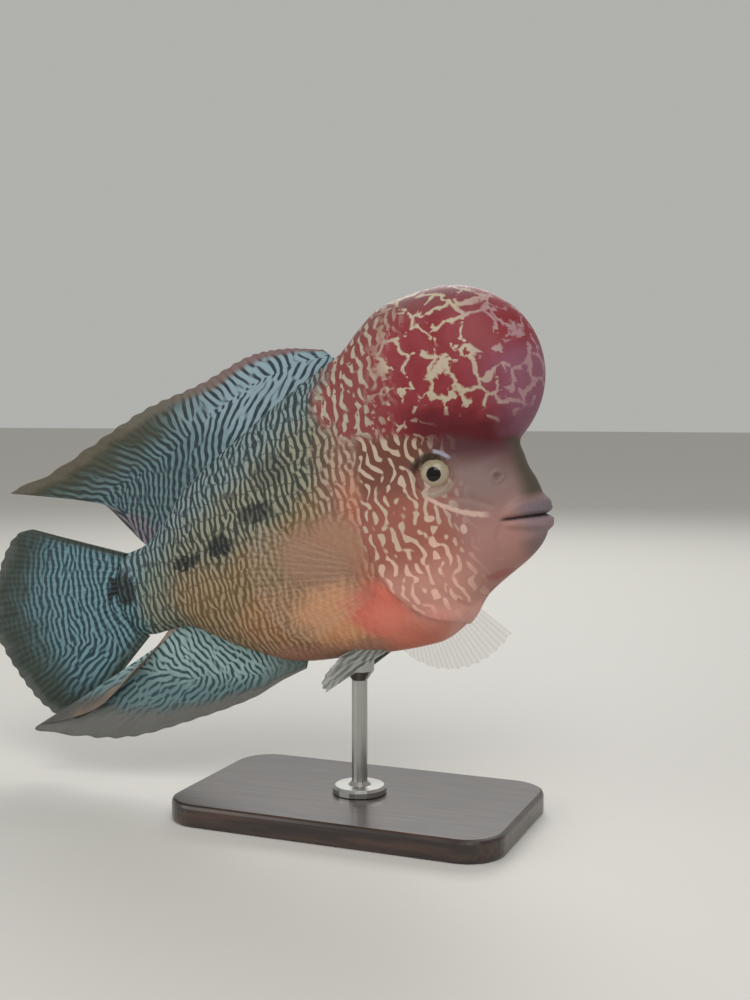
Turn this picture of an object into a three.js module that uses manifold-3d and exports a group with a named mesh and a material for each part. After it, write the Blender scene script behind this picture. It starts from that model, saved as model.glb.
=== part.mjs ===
// A flowerhorn cichlid as a still, life-size display model on a small stand.
// Lengths are millimetres, angles are degrees.
// The origin is the middle of the underside of the stand's base.
// The fish is first drawn straight, in its own frame: x runs forward from the root of the tail fin to the
// snout, y to the fish's left and h up. bend() then gives it the pose: an S curve seen from above, nose up.
import * as THREE from "three";
import { mergeVertices } from "three/addons/utils/BufferGeometryUtils.js";
import Module from "manifold-3d";

// Driving sizes of the fish
const STANDARD_LENGTH = 200;
const HUMP = { x: 174.5, h: 62.5, length: 76, width: 48, height: 72 };
const EYE = { x: 162.3, h: 27, y: 14.6, radius: 6.8, depth: 4.9 };
const GAP = 0.3;

// The pose: headings of the body's axis seen from above, at stations along it, and the nose-up pitch
const PITCH = 16;
const HEADINGS = [
  [-30, 4],
  [40, -5],
  [90, -5],
  [160, 5],
];

// The stand
const BASE = { length: 140, width: 84, height: 9, corner: 14, bevel: 1.5 };
const ROD = { x: 108, radius: 3.2, edge: 1, fillet: 1.5, buried: 4 };
const FOOT = { radius: 11, height: 3 };
const COLLAR = { radius: 6, height: 7, taper: 3 };
const BASE_CENTRE_X = 118;
const TAIL_CLEARANCE = 9;
const LOWEST_FIN_POINT = -51.5;

const rad = THREE.MathUtils.degToRad;
const clamp = THREE.MathUtils.clamp;
const lerp = THREE.MathUtils.lerp;

function smoothstep(from, to, value) {
  const t = clamp((value - from) / (to - from), 0, 1);
  return t * t * (3 - 2 * t);
}

// A smooth curve through [x, value] points: cubic Hermite with slopes from the neighbouring points.
function curveThrough(points) {
  const last = points.length - 1;
  const slope = (i) => {
    const a = points[Math.max(i - 1, 0)];
    const b = points[Math.min(i + 1, last)];
    return (b[1] - a[1]) / (b[0] - a[0]);
  };
  const slopes = points.map((_, i) => slope(i));
  return (x) => {
    let i = 0;
    while (i < last - 1 && x > points[i + 1][0]) i++;
    const [x0, v0] = points[i];
    const [x1, v1] = points[i + 1];
    const span = x1 - x0;
    const t = clamp((x - x0) / span, 0, 1);
    const t2 = t * t;
    const t3 = t2 * t;
    return (
      v0 * (2 * t3 - 3 * t2 + 1) +
      slopes[i] * span * (t3 - 2 * t2 + t) +
      v1 * (3 * t2 - 2 * t3) +
      slopes[i + 1] * span * (t3 - t2)
    );
  };
}

// The trunk's outlines in side view, and its half width seen from above
const topLine = curveThrough([
  [-8, 29],
  [0, 31],
  [20, 33.5],
  [46, 51],
  [81, 65.5],
  [113, 77],
  [140, 81],
  [160, 66],
  [180, 40],
  [190, 26],
]);
const bottomLine = curveThrough([
  [-8, -1],
  [8, -6],
  [31, -7],
  [54, -20],
  [78, -31],
  [104, -34.5],
  [143, -37],
  [155, -33],
  [168, -23],
  [190, -9],
]);
const halfWidth = curveThrough([
  [-8, 2.2],
  [0, 3.4],
  [12, 5.6],
  [30, 9.5],
  [60, 15],
  [100, 20],
  [130, 22],
  [150, 21],
  [170, 16.5],
  [190, 10],
]);
// How round the trunk's cross-section is above and below its widest line: 2 is an ellipse
const SECTION = { widestAt: 0.42, upperPower: 1.9, lowerPower: 2.2 };
const TRUNK_FRONT = { x: 187, rounding: 12 };
const TAIL_END = { x: -2, hollow: 9, h: 13, half: 20, rounding: 3 };
const tailEnd = (h) => TAIL_END.x + TAIL_END.hollow * ((h - TAIL_END.h) / TAIL_END.half) ** 2;

// Rounded masses that join the trunk: middle, half sizes, and the width over which each one blends in
const FACE = { middle: [170, 0, 10], half: [28.3, 14, 26], blend: 8 };
const SNOUT = { middle: [181, 0, 0.5], half: [16.2, 9.5, 12.5], blend: 7 };
const BRIDGE = { middle: [180, 0, 27], half: [15, 11, 11], blend: 5 };
const NAPE = { middle: [142, 0, 52], half: [31.5, 17, 28.5], blend: 10 };
const CHEEK = { middle: [148, 9, 5], half: [22, 13.5, 35], blend: 6 };
const CROWN = { middle: [160.5, 0, 63.5], half: [23.5, 18, 30.5], blend: 10 };

// The hump on the forehead blends softly into the nape and meets the face in a crease
const KOK = {
  middle: [HUMP.x, 0, HUMP.h],
  half: [HUMP.length / 2, HUMP.width / 2, HUMP.height / 2],
};
const HUMP_BLEND = { rear: 14, front: 4, from: 145, to: 190 };

// Relief on the head
const GILL_EDGE = curveThrough([
  [-31, 157],
  [-25, 146],
  [-11, 136],
  [5, 132.5],
  [25, 134.5],
  [44, 137],
  [52, 138],
]);
const GILL = { step: 1.3, rise: 0.8, fadeFrom: 4, fadeTo: 26, topFrom: 40, topTo: 52 };
const MOUTH = { tipX: 200, tipH: 1.2, cornerX: 184, cornerH: 3.4, groove: 0.4, width: 0.8 };
const LIPS = { height: 1.7, thinning: 0.45, edge: 1.6, start: 2.2 };
const NOSTRIL = { x: 185.5, h: 20, radius: 1.6, depth: 1 };
const EYE_RIM = { height: 0.7, width: 1.3 };

// Signed distance, near enough, from an ellipsoid
function ellipsoid(p, { middle, half }) {
  let k0 = 1e-9;
  let k1 = 1e-9;
  for (let i = 0; i < 3; i++) {
    const q = (p[i] - middle[i]) / half[i];
    k0 += q * q;
    k1 += (q / half[i]) ** 2;
  }
  const root = Math.sqrt(k0);
  return (root * (root - 1)) / Math.sqrt(k1);
}

// The lower of two distances, rounded over a width where they cross, and the higher of two, the same way
function joined(a, b, width) {
  const h = Math.max(width - Math.abs(a - b), 0) / width;
  return Math.min(a, b) - (h * h * width) / 4;
}
const trimmed = (a, b, width) => -joined(-a, -b, width);

function trunk(p) {
  const [x, y, h] = p;
  const top = topLine(x);
  const bottom = bottomLine(x);
  const middle = lerp(bottom, top, SECTION.widestAt);
  const upper = h > middle;
  const half = upper ? top - middle : middle - bottom;
  const power = upper ? SECTION.upperPower : SECTION.lowerPower;
  const u = Math.abs(y) / halfWidth(x) + 1e-6;
  const v = Math.abs(h - middle) / half + 1e-6;
  const rho = (u ** power + v ** power) ** (1 / power);
  const steep = rho ** (1 - power) * Math.hypot(u ** (power - 1) / halfWidth(x), v ** (power - 1) / half);
  const section = (rho - 1) / steep;
  const front = trimmed(section, x - TRUNK_FRONT.x, TRUNK_FRONT.rounding);
  return trimmed(front, tailEnd(h) - x, TAIL_END.rounding);
}

// What stands out from the masses: the gill cover's rear edge, the lips, the eye's rim and the nostrils
function relief([x, y, h]) {
  const past = x - GILL_EDGE(h);
  const behind = 1 - smoothstep(GILL.fadeFrom, GILL.fadeTo, past);
  const below = 1 - smoothstep(GILL.topFrom, GILL.topTo, h);
  const gill = GILL.step * smoothstep(-GILL.rise, GILL.rise, past) * behind * below;
  const along = clamp((MOUTH.tipX - x) / (MOUTH.tipX - MOUTH.cornerX), 0, 1.6);
  const off = h - lerp(MOUTH.tipH, MOUTH.cornerH, along);
  const fade = 1 - smoothstep(0.85, 1.2, along);
  const size = off > 0 ? 6.5 + 6.2 * along - 10.5 * along * along : 6.2 - 3.2 * along;
  const height = LIPS.height * (1 - LIPS.thinning * along);
  const away = Math.abs(off);
  const outer = 1 - smoothstep(size - LIPS.edge, size + LIPS.edge, away);
  const pad = smoothstep(0, LIPS.start, away) * outer;
  const lips = fade * height * pad;
  const groove = fade * MOUTH.groove * Math.exp(-((off / MOUTH.width) ** 2));
  const fromNostril = Math.hypot(x - NOSTRIL.x, h - NOSTRIL.h) / NOSTRIL.radius;
  const nostril = NOSTRIL.depth * Math.exp(-(fromNostril ** 2));
  const fromRim = (Math.hypot(x - EYE.x, h - EYE.h) - EYE.radius) / EYE_RIM.width;
  const rim = EYE_RIM.height * Math.exp(-(fromRim ** 2));
  const onFlank = Math.abs(y) > EYE.y / 3 ? 1 : 0;
  return gill + lips - groove + (rim - nostril) * onFlank;
}

// The whole body as one signed distance
function body(p) {
  const mirrored = [p[0], Math.abs(p[1]), p[2]];
  let d = trunk(p);
  for (const mass of [NAPE, FACE, SNOUT, BRIDGE, CHEEK, CROWN]) {
    d = joined(d, ellipsoid(mirrored, mass), mass.blend);
  }
  const { rear, front, from, to } = HUMP_BLEND;
  d = joined(d, ellipsoid(p, KOK), lerp(rear, front, smoothstep(from, to, p[0])));
  return d - relief(p);
}

// The body's grid: rings of rays from a line of centres that runs up the trunk and stops in the head, where
// the rings close like an umbrella over the mouth
const TAIL_CENTRE = { x: -1.5, h: 13 };
const HEAD_CENTRE = { x: 150, h: 22 };
const FAN = 0.09;
const TILT_FROM = 0.2;
const MOUTH_SLOPE = 25.6;
const RINGS = { trunk: 22, head: 24 };
const SPOKES = 36;
const ASPECT = 0.5;
const REACH = 120;
const HALVINGS = 28;

function ringFrame(u) {
  const split = RINGS.trunk / (RINGS.trunk + RINGS.head);
  if (u <= split) {
    const s = u / split;
    const x = lerp(TAIL_CENTRE.x, HEAD_CENTRE.x, s);
    const h = lerp(TAIL_CENTRE.h, HEAD_CENTRE.h, s);
    const open = 180 - 90 * Math.min(s / FAN, 1);
    return { x, h, tilt: -MOUTH_SLOPE * smoothstep(TILT_FROM, 1, s), open };
  }
  const s = (u - split) / (1 - split);
  return { x: HEAD_CENTRE.x, h: HEAD_CENTRE.h, tilt: -MOUTH_SLOPE, open: 90 * (1 - s) };
}

function ray(u, v) {
  const frame = ringFrame(u);
  const angle = 2 * Math.PI * v;
  const side = Math.cos(angle) * ASPECT;
  const up = Math.sin(angle);
  const size = Math.hypot(side, up);
  const along = Math.cos(rad(frame.open));
  const out = Math.sin(rad(frame.open)) / size;
  const tilt = rad(frame.tilt);
  const direction = [
    along * Math.cos(tilt) - out * up * Math.sin(tilt),
    out * side,
    along * Math.sin(tilt) + out * up * Math.cos(tilt),
  ];
  return { origin: [frame.x, 0, frame.h], direction };
}

function along({ origin, direction }, distance) {
  return origin.map((value, i) => value + direction[i] * distance);
}

// Where a ray leaves the body, by halving
function surfacePoint(line, grown) {
  let near = 0;
  let far = REACH;
  for (let i = 0; i < HALVINGS; i++) {
    const middle = (near + far) / 2;
    if (body(along(line, middle)) < grown) near = middle;
    else far = middle;
  }
  return along(line, near);
}

// The pose
const PLAN_FROM = -90;
const PLAN_TO = STANDARD_LENGTH + 30;
const plan = [];
{
  let x = 0;
  let y = 0;
  for (let at = PLAN_FROM; at <= PLAN_TO; at++) {
    let heading = HEADINGS[0][1];
    for (let k = 0; k + 1 < HEADINGS.length; k++) {
      const [from, before] = HEADINGS[k];
      const [to, after] = HEADINGS[k + 1];
      if (at > from) heading = lerp(before, after, smoothstep(from, to, at));
    }
    plan.push({ at, x, y, heading: rad(heading) });
    x += Math.cos(rad(heading));
    y += Math.sin(rad(heading));
  }
  const zero = plan.find((p) => p.at === 0);
  const shift = { x: zero.x, y: zero.y };
  for (const p of plan) {
    p.x -= shift.x;
    p.y -= shift.y;
  }
}

function bentOnly([x, y, h]) {
  const place = clamp(x - PLAN_FROM, 0, PLAN_TO - PLAN_FROM - 0.001);
  const i = Math.floor(place);
  const t = place - i;
  const mix = (key) => lerp(plan[i][key], plan[i + 1][key], t);
  const heading = mix("heading");
  const ahead = mix("x") - y * Math.sin(heading);
  const side = mix("y") + y * Math.cos(heading);
  const tilt = rad(PITCH);
  return [ahead * Math.cos(tilt) - h * Math.sin(tilt), side, ahead * Math.sin(tilt) + h * Math.cos(tilt)];
}

const standPoint = bentOnly([BASE_CENTRE_X, 0, 0]);
const FLOOR = LOWEST_FIN_POINT - TAIL_CLEARANCE - BASE.height;

function bend(p) {
  const [x, y, z] = bentOnly(p);
  return [x - standPoint[0], y - standPoint[1], z - FLOOR];
}

// A closed mesh, turned so that its faces look outwards
function mesh(points, faces) {
  const volume = faces.reduce((sum, [a, b, c]) => {
    const [p, q, r] = [points[a], points[b], points[c]].map((v) => new THREE.Vector3(...v));
    return sum + p.dot(q.cross(r));
  }, 0);
  const outward = volume > 0 ? faces : faces.map(([a, b, c]) => [a, c, b]);
  const geometry = new THREE.BufferGeometry();
  geometry.setAttribute("position", new THREE.Float32BufferAttribute(points.flat(), 3));
  geometry.setIndex(outward.flat());
  return geometry;
}

function bodyMesh(grown = 0) {
  const rings = RINGS.trunk + RINGS.head;
  const points = [];
  for (let i = 1; i < rings; i++) {
    for (let j = 0; j < SPOKES; j++) points.push(bend(surfacePoint(ray(i / rings, j / SPOKES), grown)));
  }
  const tail = points.length;
  points.push(bend(surfacePoint(ray(0, 0), grown)));
  const nose = points.length;
  points.push(bend(surfacePoint(ray(1, 0), grown)));
  const faces = [];
  const at = (i, j) => i * SPOKES + (j % SPOKES);
  for (let j = 0; j < SPOKES; j++) {
    for (let i = 0; i < rings - 2; i++) {
      faces.push([at(i, j), at(i, j + 1), at(i + 1, j + 1)]);
      faces.push([at(i, j), at(i + 1, j + 1), at(i + 1, j)]);
    }
    faces.push([tail, at(0, j + 1), at(0, j)]);
    faces.push([nose, at(rings - 2, j), at(rings - 2, j + 1)]);
  }
  return mesh(points, faces);
}

// A plate between two grids of points, front and back, split alike on both faces
function plate(front, back) {
  const rows = front.length;
  const columns = front[0].length;
  const points = [...front.flat(), ...back.flat()];
  const other = rows * columns;
  const at = (i, j) => i * columns + j;
  const faces = [];
  for (let i = 0; i + 1 < rows; i++) {
    for (let j = 0; j + 1 < columns; j++) {
      const [a, b, c, d] = [at(i, j), at(i, j + 1), at(i + 1, j + 1), at(i + 1, j)];
      faces.push([a, b, c], [a, c, d]);
      faces.push([other + a, other + c, other + b], [other + a, other + d, other + c]);
    }
  }
  const rim = [];
  for (let j = 0; j + 1 < columns; j++) rim.push(at(0, j));
  for (let i = 0; i + 1 < rows; i++) rim.push(at(i, columns - 1));
  for (let j = columns - 1; j > 0; j--) rim.push(at(rows - 1, j));
  for (let i = rows - 1; i > 0; i--) rim.push(at(i, 0));
  rim.forEach((a, k) => {
    const b = rim[(k + 1) % rim.length];
    faces.push([a, other + a, other + b], [a, other + b, b]);
  });
  return mesh(points, faces);
}

// A fin: root(s) and tip(s) run along its base and its edge, s from 0 to 1 from the first ray to the last.
// Every second column is a ray, which stands out from the membrane by ridge.
// Between the rays the edge is cut in by the share notch.
// A ray may lean by sway(s, t) to the side, t from 0 at the root to 1 at the tip.
function fin({ root, tip, rays, steps, rootThick, edgeThick, ridge, notch, sway, frame }) {
  const columns = 2 * rays - 1;
  const front = [];
  const back = [];
  for (let i = 0; i < columns; i++) {
    const s = i / (columns - 1);
    const isRay = i % 2 === 0;
    const a = root(s);
    const b = tip(s);
    const left = [];
    const right = [];
    for (let j = 0; j <= steps; j++) {
      const t = j / steps;
      const reach = isRay ? t : t * (1 - notch);
      const x = lerp(a[0], b[0], reach);
      const h = lerp(a[1], b[1], reach);
      const thick = lerp(rootThick, edgeThick, Math.sqrt(t)) + (isRay ? ridge * (1 - t) ** 0.6 : 0);
      const y = sway(s, t);
      left.push(bend(frame(x, y + thick / 2, h)));
      right.push(bend(frame(x, y - thick / 2, h)));
    }
    front.push(left);
    back.push(right);
  }
  return plate(front, back);
}
const onMidline = (x, y, h) => [x, y, h];

// Height at which a fin's root starts on the middle line, above or below a station
const ROOT_GAP = 0.45;
function crest(x, sign) {
  let near = 12;
  let far = 140 * sign;
  for (let i = 0; i < HALVINGS; i++) {
    const middle = (near + far) / 2;
    if (body([x, 0, middle]) < 0) near = middle;
    else far = middle;
  }
  return near + sign * ROOT_GAP;
}

const RIDGE = 0.8;

// Dorsal fin: long base, spines leaning back, soft rays drawn out to a point over the tail
// The edge lists hold s, x, h.
const DORSAL = { front: 132, back: 19, rays: 28, wave: 3, waves: 1.1 };
const DORSAL_EDGE = [
  [0, 127, 88.5],
  [0.15, 109, 94.5],
  [0.3, 91, 96.5],
  [0.45, 66, 92],
  [0.6, 36, 89],
  [0.72, 2, 81],
  [0.77, -20, 75.5],
  [0.82, -43, 72.5],
  [0.9, -16, 65.5],
  [0.96, -1, 58],
  [1, 11, 41],
];
function edgeCurve(edge) {
  const x = curveThrough(edge.map((row) => [row[0], row[1]]));
  const h = curveThrough(edge.map((row) => [row[0], row[2]]));
  return (s) => [x(s), h(s)];
}
function dorsalFin() {
  return fin({
    root: (s) => {
      const x = lerp(DORSAL.front, DORSAL.back, s);
      return [x, crest(x, 1)];
    },
    tip: edgeCurve(DORSAL_EDGE),
    rays: DORSAL.rays,
    steps: 8,
    rootThick: 1.8,
    edgeThick: 0.6,
    ridge: RIDGE,
    notch: 0.03,
    sway: (s, t) => DORSAL.wave * t * t * Math.sin(2 * Math.PI * DORSAL.waves * s),
    frame: onMidline,
  });
}

// Anal fin: like the dorsal fin but shorter, its point passing the near side of the tail fin
const ANAL = { front: 84, back: 20, rays: 17, lean: 9 };
const ANAL_EDGE = [
  [0, 82, -35.5],
  [0.1, 68, -38.5],
  [0.2, 52, -43],
  [0.4, 21, -46.5],
  [0.6, -10, -47.5],
  [0.75, -34, -42],
  [0.84, -56, -33.5],
  [0.92, -24, -32],
  [1, 4, -18],
];
function analFin() {
  return fin({
    root: (s) => {
      const x = lerp(ANAL.front, ANAL.back, s);
      return [x, crest(x, -1)];
    },
    tip: edgeCurve(ANAL_EDGE),
    rays: ANAL.rays,
    steps: 7,
    rootThick: 1.8,
    edgeThick: 0.6,
    ridge: RIDGE,
    notch: 0.03,
    sway: (s, t) => -ANAL.lean * t * t * smoothstep(0.2, 0.8, s),
    frame: onMidline,
  });
}

// Tail fin: a fan from the curved end of the tail stalk, longest at the middle rays, its corners rounded
const CAUDAL = {
  x: 3,
  h: 13,
  rootHigh: 31.5,
  rootLow: -6.5,
  topAngle: 136,
  bottomAngle: 232,
  radius: 70,
  bulge: 7,
  bulgeAngle: 174,
  bulgeSpread: 17,
  cornerCut: 0.16,
  cornerPower: 8,
  rays: 20,
  cup: 4,
  wave: 2.5,
};
function caudalFin() {
  return fin({
    root: (s) => {
      const h = lerp(CAUDAL.rootHigh, CAUDAL.rootLow, s);
      return [tailEnd(h) - GAP, h];
    },
    tip: (s) => {
      const angle = lerp(CAUDAL.topAngle, CAUDAL.bottomAngle, s);
      const corner = 1 - CAUDAL.cornerCut * Math.abs(2 * s - 1) ** CAUDAL.cornerPower;
      const fromBulge = (angle - CAUDAL.bulgeAngle) / CAUDAL.bulgeSpread;
      const reach = CAUDAL.radius * corner + CAUDAL.bulge * Math.exp(-(fromBulge ** 2));
      return [CAUDAL.x + reach * Math.cos(rad(angle)), CAUDAL.h + reach * Math.sin(rad(angle))];
    },
    rays: CAUDAL.rays,
    steps: 8,
    rootThick: 2.4,
    edgeThick: 0.6,
    ridge: RIDGE,
    notch: 0.015,
    sway: (s, t) => CAUDAL.cup * t * t + CAUDAL.wave * t * Math.sin(2 * Math.PI * s),
    frame: onMidline,
  });
}

// A paired fin is drawn flat, p along its middle ray and q across, then set on the body by three directions
function pairedFrame({ root, aim, across, side }) {
  const forward = new THREE.Vector3(...aim).normalize();
  const normal = new THREE.Vector3().crossVectors(forward, new THREE.Vector3(...across)).normalize();
  const wide = new THREE.Vector3().crossVectors(normal, forward).normalize();
  return (p, n, q) => {
    const point = new THREE.Vector3(...root)
      .addScaledVector(forward, p)
      .addScaledVector(wide, q)
      .addScaledVector(normal, n);
    return [point.x, point.y * side, point.z];
  };
}

const PECTORAL = {
  root: [131, 20.5, -6],
  rootWidth: 13,
  length: 51,
  shorterBelow: 0.34,
  spreadUp: 36,
  spreadDown: -38,
  rays: 12,
};
function pectoralFin(side, place) {
  return fin({
    root: (s) => [0, lerp(PECTORAL.rootWidth / 2, -PECTORAL.rootWidth / 2, s)],
    tip: (s) => {
      const angle = rad(lerp(PECTORAL.spreadUp, PECTORAL.spreadDown, s));
      const reach = PECTORAL.length * (1 - PECTORAL.shorterBelow * s * s);
      return [reach * Math.cos(angle), reach * Math.sin(angle)];
    },
    rays: PECTORAL.rays,
    steps: 6,
    rootThick: 1.4,
    edgeThick: 0.5,
    ridge: RIDGE * 0.6,
    notch: 0.015,
    sway: (s, t) => place.curl * t * t,
    frame: pairedFrame({ ...place, root: PECTORAL.root, side }),
  });
}

const PELVIC = {
  root: [122, 6.5, -32],
  rootWidth: 7,
  length: 30,
  firstRay: 0.6,
  spreadUp: 16,
  spreadDown: -8,
  rays: 6,
};
function pelvicFin(side, place) {
  return fin({
    root: (s) => [0, lerp(PELVIC.rootWidth / 2, -PELVIC.rootWidth / 2, s)],
    tip: (s) => {
      const angle = rad(lerp(PELVIC.spreadUp, PELVIC.spreadDown, s));
      const reach = PELVIC.length * lerp(PELVIC.firstRay, 1, smoothstep(0, 0.8, s));
      return [reach * Math.cos(angle), reach * Math.sin(angle)];
    },
    rays: PELVIC.rays,
    steps: 6,
    rootThick: 1.8,
    edgeThick: 0.5,
    ridge: RIDGE * 0.8,
    notch: 0.03,
    sway: (s, t) => place.curl * t * t,
    frame: pairedFrame({ ...place, root: PELVIC.root, side }),
  });
}

// Joining and cutting
const wasm = await Module();
wasm.setup();

function solid(geometry) {
  const bare = geometry.clone();
  bare.deleteAttribute("normal");
  bare.deleteAttribute("uv");
  const merged = mergeVertices(bare, 1e-4);
  return new wasm.Manifold(
    new wasm.Mesh({
      numProp: 3,
      vertProperties: new Float32Array(merged.attributes.position.array),
      triVerts: new Uint32Array(merged.index.array),
    }),
  );
}

function geometryOf(manifold) {
  const { vertProperties, triVerts, numProp } = manifold.getMesh();
  const points = [];
  for (let i = 0; i < vertProperties.length; i += numProp) {
    points.push(vertProperties[i], vertProperties[i + 1], vertProperties[i + 2]);
  }
  const geometry = new THREE.BufferGeometry();
  geometry.setAttribute("position", new THREE.Float32BufferAttribute(points, 3));
  geometry.setIndex([...triVerts]);
  return geometry;
}

const byVolume = (a, b) => b.volume() - a.volume();
const largest = (manifold) => manifold.decompose().sort(byVolume)[0];

// A thin curtain that parts the body: a line drawn in side view, carried across from y0 to y1
function curtain(line, y0, y1) {
  const front = [];
  const back = [];
  const across = 2;
  line.forEach(([x, h], i) => {
    const [xa, ha] = line[Math.max(i - 1, 0)];
    const [xb, hb] = line[Math.min(i + 1, line.length - 1)];
    const size = Math.hypot(xb - xa, hb - ha);
    const nx = (-(hb - ha) / size) * (GAP / 2);
    const nh = ((xb - xa) / size) * (GAP / 2);
    const a = [];
    const b = [];
    for (let j = 0; j <= across; j++) {
      const y = lerp(y0, y1, j / across);
      a.push(bend([x + nx, y, h + nh]));
      b.push(bend([x - nx, y, h - nh]));
    }
    front.push(a);
    back.push(b);
  });
  return solid(plate(front, back));
}

// Where a line of the cuts stands at a height, for a line that runs down
function stationAt(line, h) {
  const i = clamp(line.findIndex((point) => point[1] <= h), 1, line.length - 1);
  const [xa, ha] = line[i - 1];
  const [xb, hb] = line[i];
  return lerp(xa, xb, clamp((ha - h) / (ha - hb), 0, 1));
}

// A thin upright sheet beside the middle line, which frees a gill cover from the head's core
const LEAST_SHEET = 4;
function sideSheet(y) {
  const top = CUTS.cheek[0][1];
  const heights = [...CUTS.shoulder, ...CUTS.cheek].map((point) => point[1]).filter((h) => h <= top);
  const rows = heights.sort((a, b) => b - a).map((h) => {
    const rear = stationAt(CUTS.shoulder, h) - GAP / 2;
    const front = Math.max(stationAt(CUTS.cheek, h) + GAP / 2, rear + LEAST_SHEET);
    return [rear, (rear + front) / 2, front].map((x) => [x, h]);
  });
  const face = (offset) => rows.map((row) => row.map(([x, h]) => bend([x, y + offset, h])));
  return solid(plate(face(GAP / 2), face(-GAP / 2)));
}

// The lines along which the body is parted, in side view
const CUTS = {
  stalk: [
    [30, -20],
    [30, 60],
  ],
  shoulder: [
    [128, 100],
    [131, 75],
    [133.5, 55],
    [131.5, 40],
    [129.5, 20],
    [129.5, 5],
    [132, -10],
    [140, -24],
    [151, -45],
  ],
  hump: [
    [126, 82],
    [134, 66],
    [150, 52],
    [163, 43],
    [178, 37],
    [192, 31],
    [204, 28],
  ],
  cheek: [
    [129, 49],
    [137, 47],
    [146, 44],
    [152, 32],
    [153, 12],
    [157, -4],
    [160, -18],
    [166, -34],
  ],
  upperJaw: [
    [202, 17],
    [193, 14.5],
    [186, 11.5],
    [181, 7.5],
    [178.5, 4.2],
  ],
  mouth: [
    [206, 0.4],
    [200, 1.2],
    [192, 2.3],
    [184, 3.4],
    [178.5, 4.2],
  ],
  lowerJaw: [
    [178.5, 4.2],
    [172, -8],
    [169, -20],
    [168, -34],
  ],
};

// A small ball, to find which piece holds a point, and an eye, a ball pressed flatter from the side
const BALL = { around: 20, down: 12 };
function ball(p, [a, b, c]) {
  const sphere = new THREE.SphereGeometry(1, BALL.around, BALL.down);
  sphere.deleteAttribute("normal");
  sphere.deleteAttribute("uv");
  const merged = mergeVertices(sphere, 1e-5).scale(a, b, c);
  return solid(merged.translate(...bend(p)));
}
const pieceAt = (pieces, p) => pieces.find((piece) => piece.intersect(ball(p, [1, 1, 1])).volume() > 0);

// The body, parted into its named pieces
const ACROSS = 40;
const COVER_DEPTH = 13;
function partedBody() {
  let parted = solid(bodyMesh());
  for (const line of [CUTS.stalk, CUTS.shoulder, CUTS.hump, CUTS.upperJaw, CUTS.mouth, CUTS.lowerJaw]) {
    parted = parted.subtract(curtain(line, -ACROSS, ACROSS));
  }
  for (const side of [-1, 1]) {
    parted = parted.subtract(curtain(CUTS.cheek, side * COVER_DEPTH, side * ACROSS));
    parted = parted.subtract(sideSheet(side * COVER_DEPTH));
  }
  return parted.decompose();
}
const PROBES = {
  tail_stalk: [15, 0, 13],
  trunk: [80, 0, 15],
  head: [160, 0, 10],
  nuchal_hump: [175, 0, 70],
  upper_jaw: [190, 0, 4],
  lower_jaw: [180, 0, -10],
  gill_cover_right: [143, -18, 5],
  gill_cover_left: [143, 18, 5],
};

// The stand: a base plate with rounded corners and edges, and a rod with a foot and a collar
function standBase() {
  const { length, width, corner, bevel, height } = BASE;
  const a = length / 2 - bevel;
  const b = width / 2 - bevel;
  const shape = new THREE.Shape();
  shape.absarc(a - corner, b - corner, corner, 0, Math.PI / 2);
  shape.absarc(corner - a, b - corner, corner, Math.PI / 2, Math.PI);
  shape.absarc(corner - a, corner - b, corner, Math.PI, 1.5 * Math.PI);
  shape.absarc(a - corner, corner - b, corner, 1.5 * Math.PI, 2 * Math.PI);
  const geometry = new THREE.ExtrudeGeometry(shape, {
    depth: height - 2 * bevel,
    bevelThickness: bevel,
    bevelSize: bevel,
    bevelSegments: 2,
    curveSegments: 5,
  });
  return geometry.translate(0, 0, bevel);
}

const ROD_SEGMENTS = 28;
const rodTop = bend([ROD.x, 0, bottomLine(ROD.x)]);
function standRod(grownBody) {
  const { radius, edge, fillet, buried } = ROD;
  const low = BASE.height + GAP;
  const footTop = low + FOOT.height;
  const high = rodTop[2] + buried;
  const collarLow = rodTop[2] - COLLAR.height;
  const profile = [
    [0, low],
    [FOOT.radius, low],
    [FOOT.radius, footTop - edge],
    [FOOT.radius - edge, footTop],
    [radius + fillet, footTop],
    [radius, footTop + fillet],
    [radius, collarLow - COLLAR.taper],
    [COLLAR.radius, collarLow + edge],
    [COLLAR.radius, high],
    [0, high],
  ];
  const lathe = new THREE.LatheGeometry(
    profile.map(([r, z]) => new THREE.Vector2(r, z)),
    ROD_SEGMENTS,
  );
  lathe.rotateX(Math.PI / 2).translate(rodTop[0], rodTop[1], 0);
  return largest(solid(lathe).subtract(grownBody));
}

const model = new THREE.Group();
const FINISH = {
  hump: { color: 0xb5343a, roughness: 0.35 },
  head: { color: 0xb98a86, roughness: 0.4 },
  cheek: { color: 0xc9765a, roughness: 0.4 },
  flank: { color: 0x8f8f6a, roughness: 0.4 },
  fin: { color: 0x6fa3ad, roughness: 0.5 },
  clear: { color: 0xb9c0bd, roughness: 0.4 },
  eye: { color: 0xe8dcae, roughness: 0.1 },
  base: { color: 0x2a2724, roughness: 0.35 },
  rod: { color: 0x9a9a98, roughness: 0.3, metalness: 0.9 },
};
const FINISH_OF = {
  nuchal_hump: "hump",
  trunk: "flank",
  tail_stalk: "flank",
  gill_cover_right: "cheek",
  gill_cover_left: "cheek",
  eye_right: "eye",
  eye_left: "eye",
  stand_base: "base",
  stand_rod: "rod",
  pectoral_fin_right: "clear",
  pectoral_fin_left: "clear",
};
function add(name, geometry) {
  const kind = FINISH_OF[name] ?? (name.includes("fin") ? "fin" : "head");
  const made = new THREE.Mesh(geometry, new THREE.MeshStandardMaterial(FINISH[kind]));
  made.name = name;
  model.add(made);
}

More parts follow.
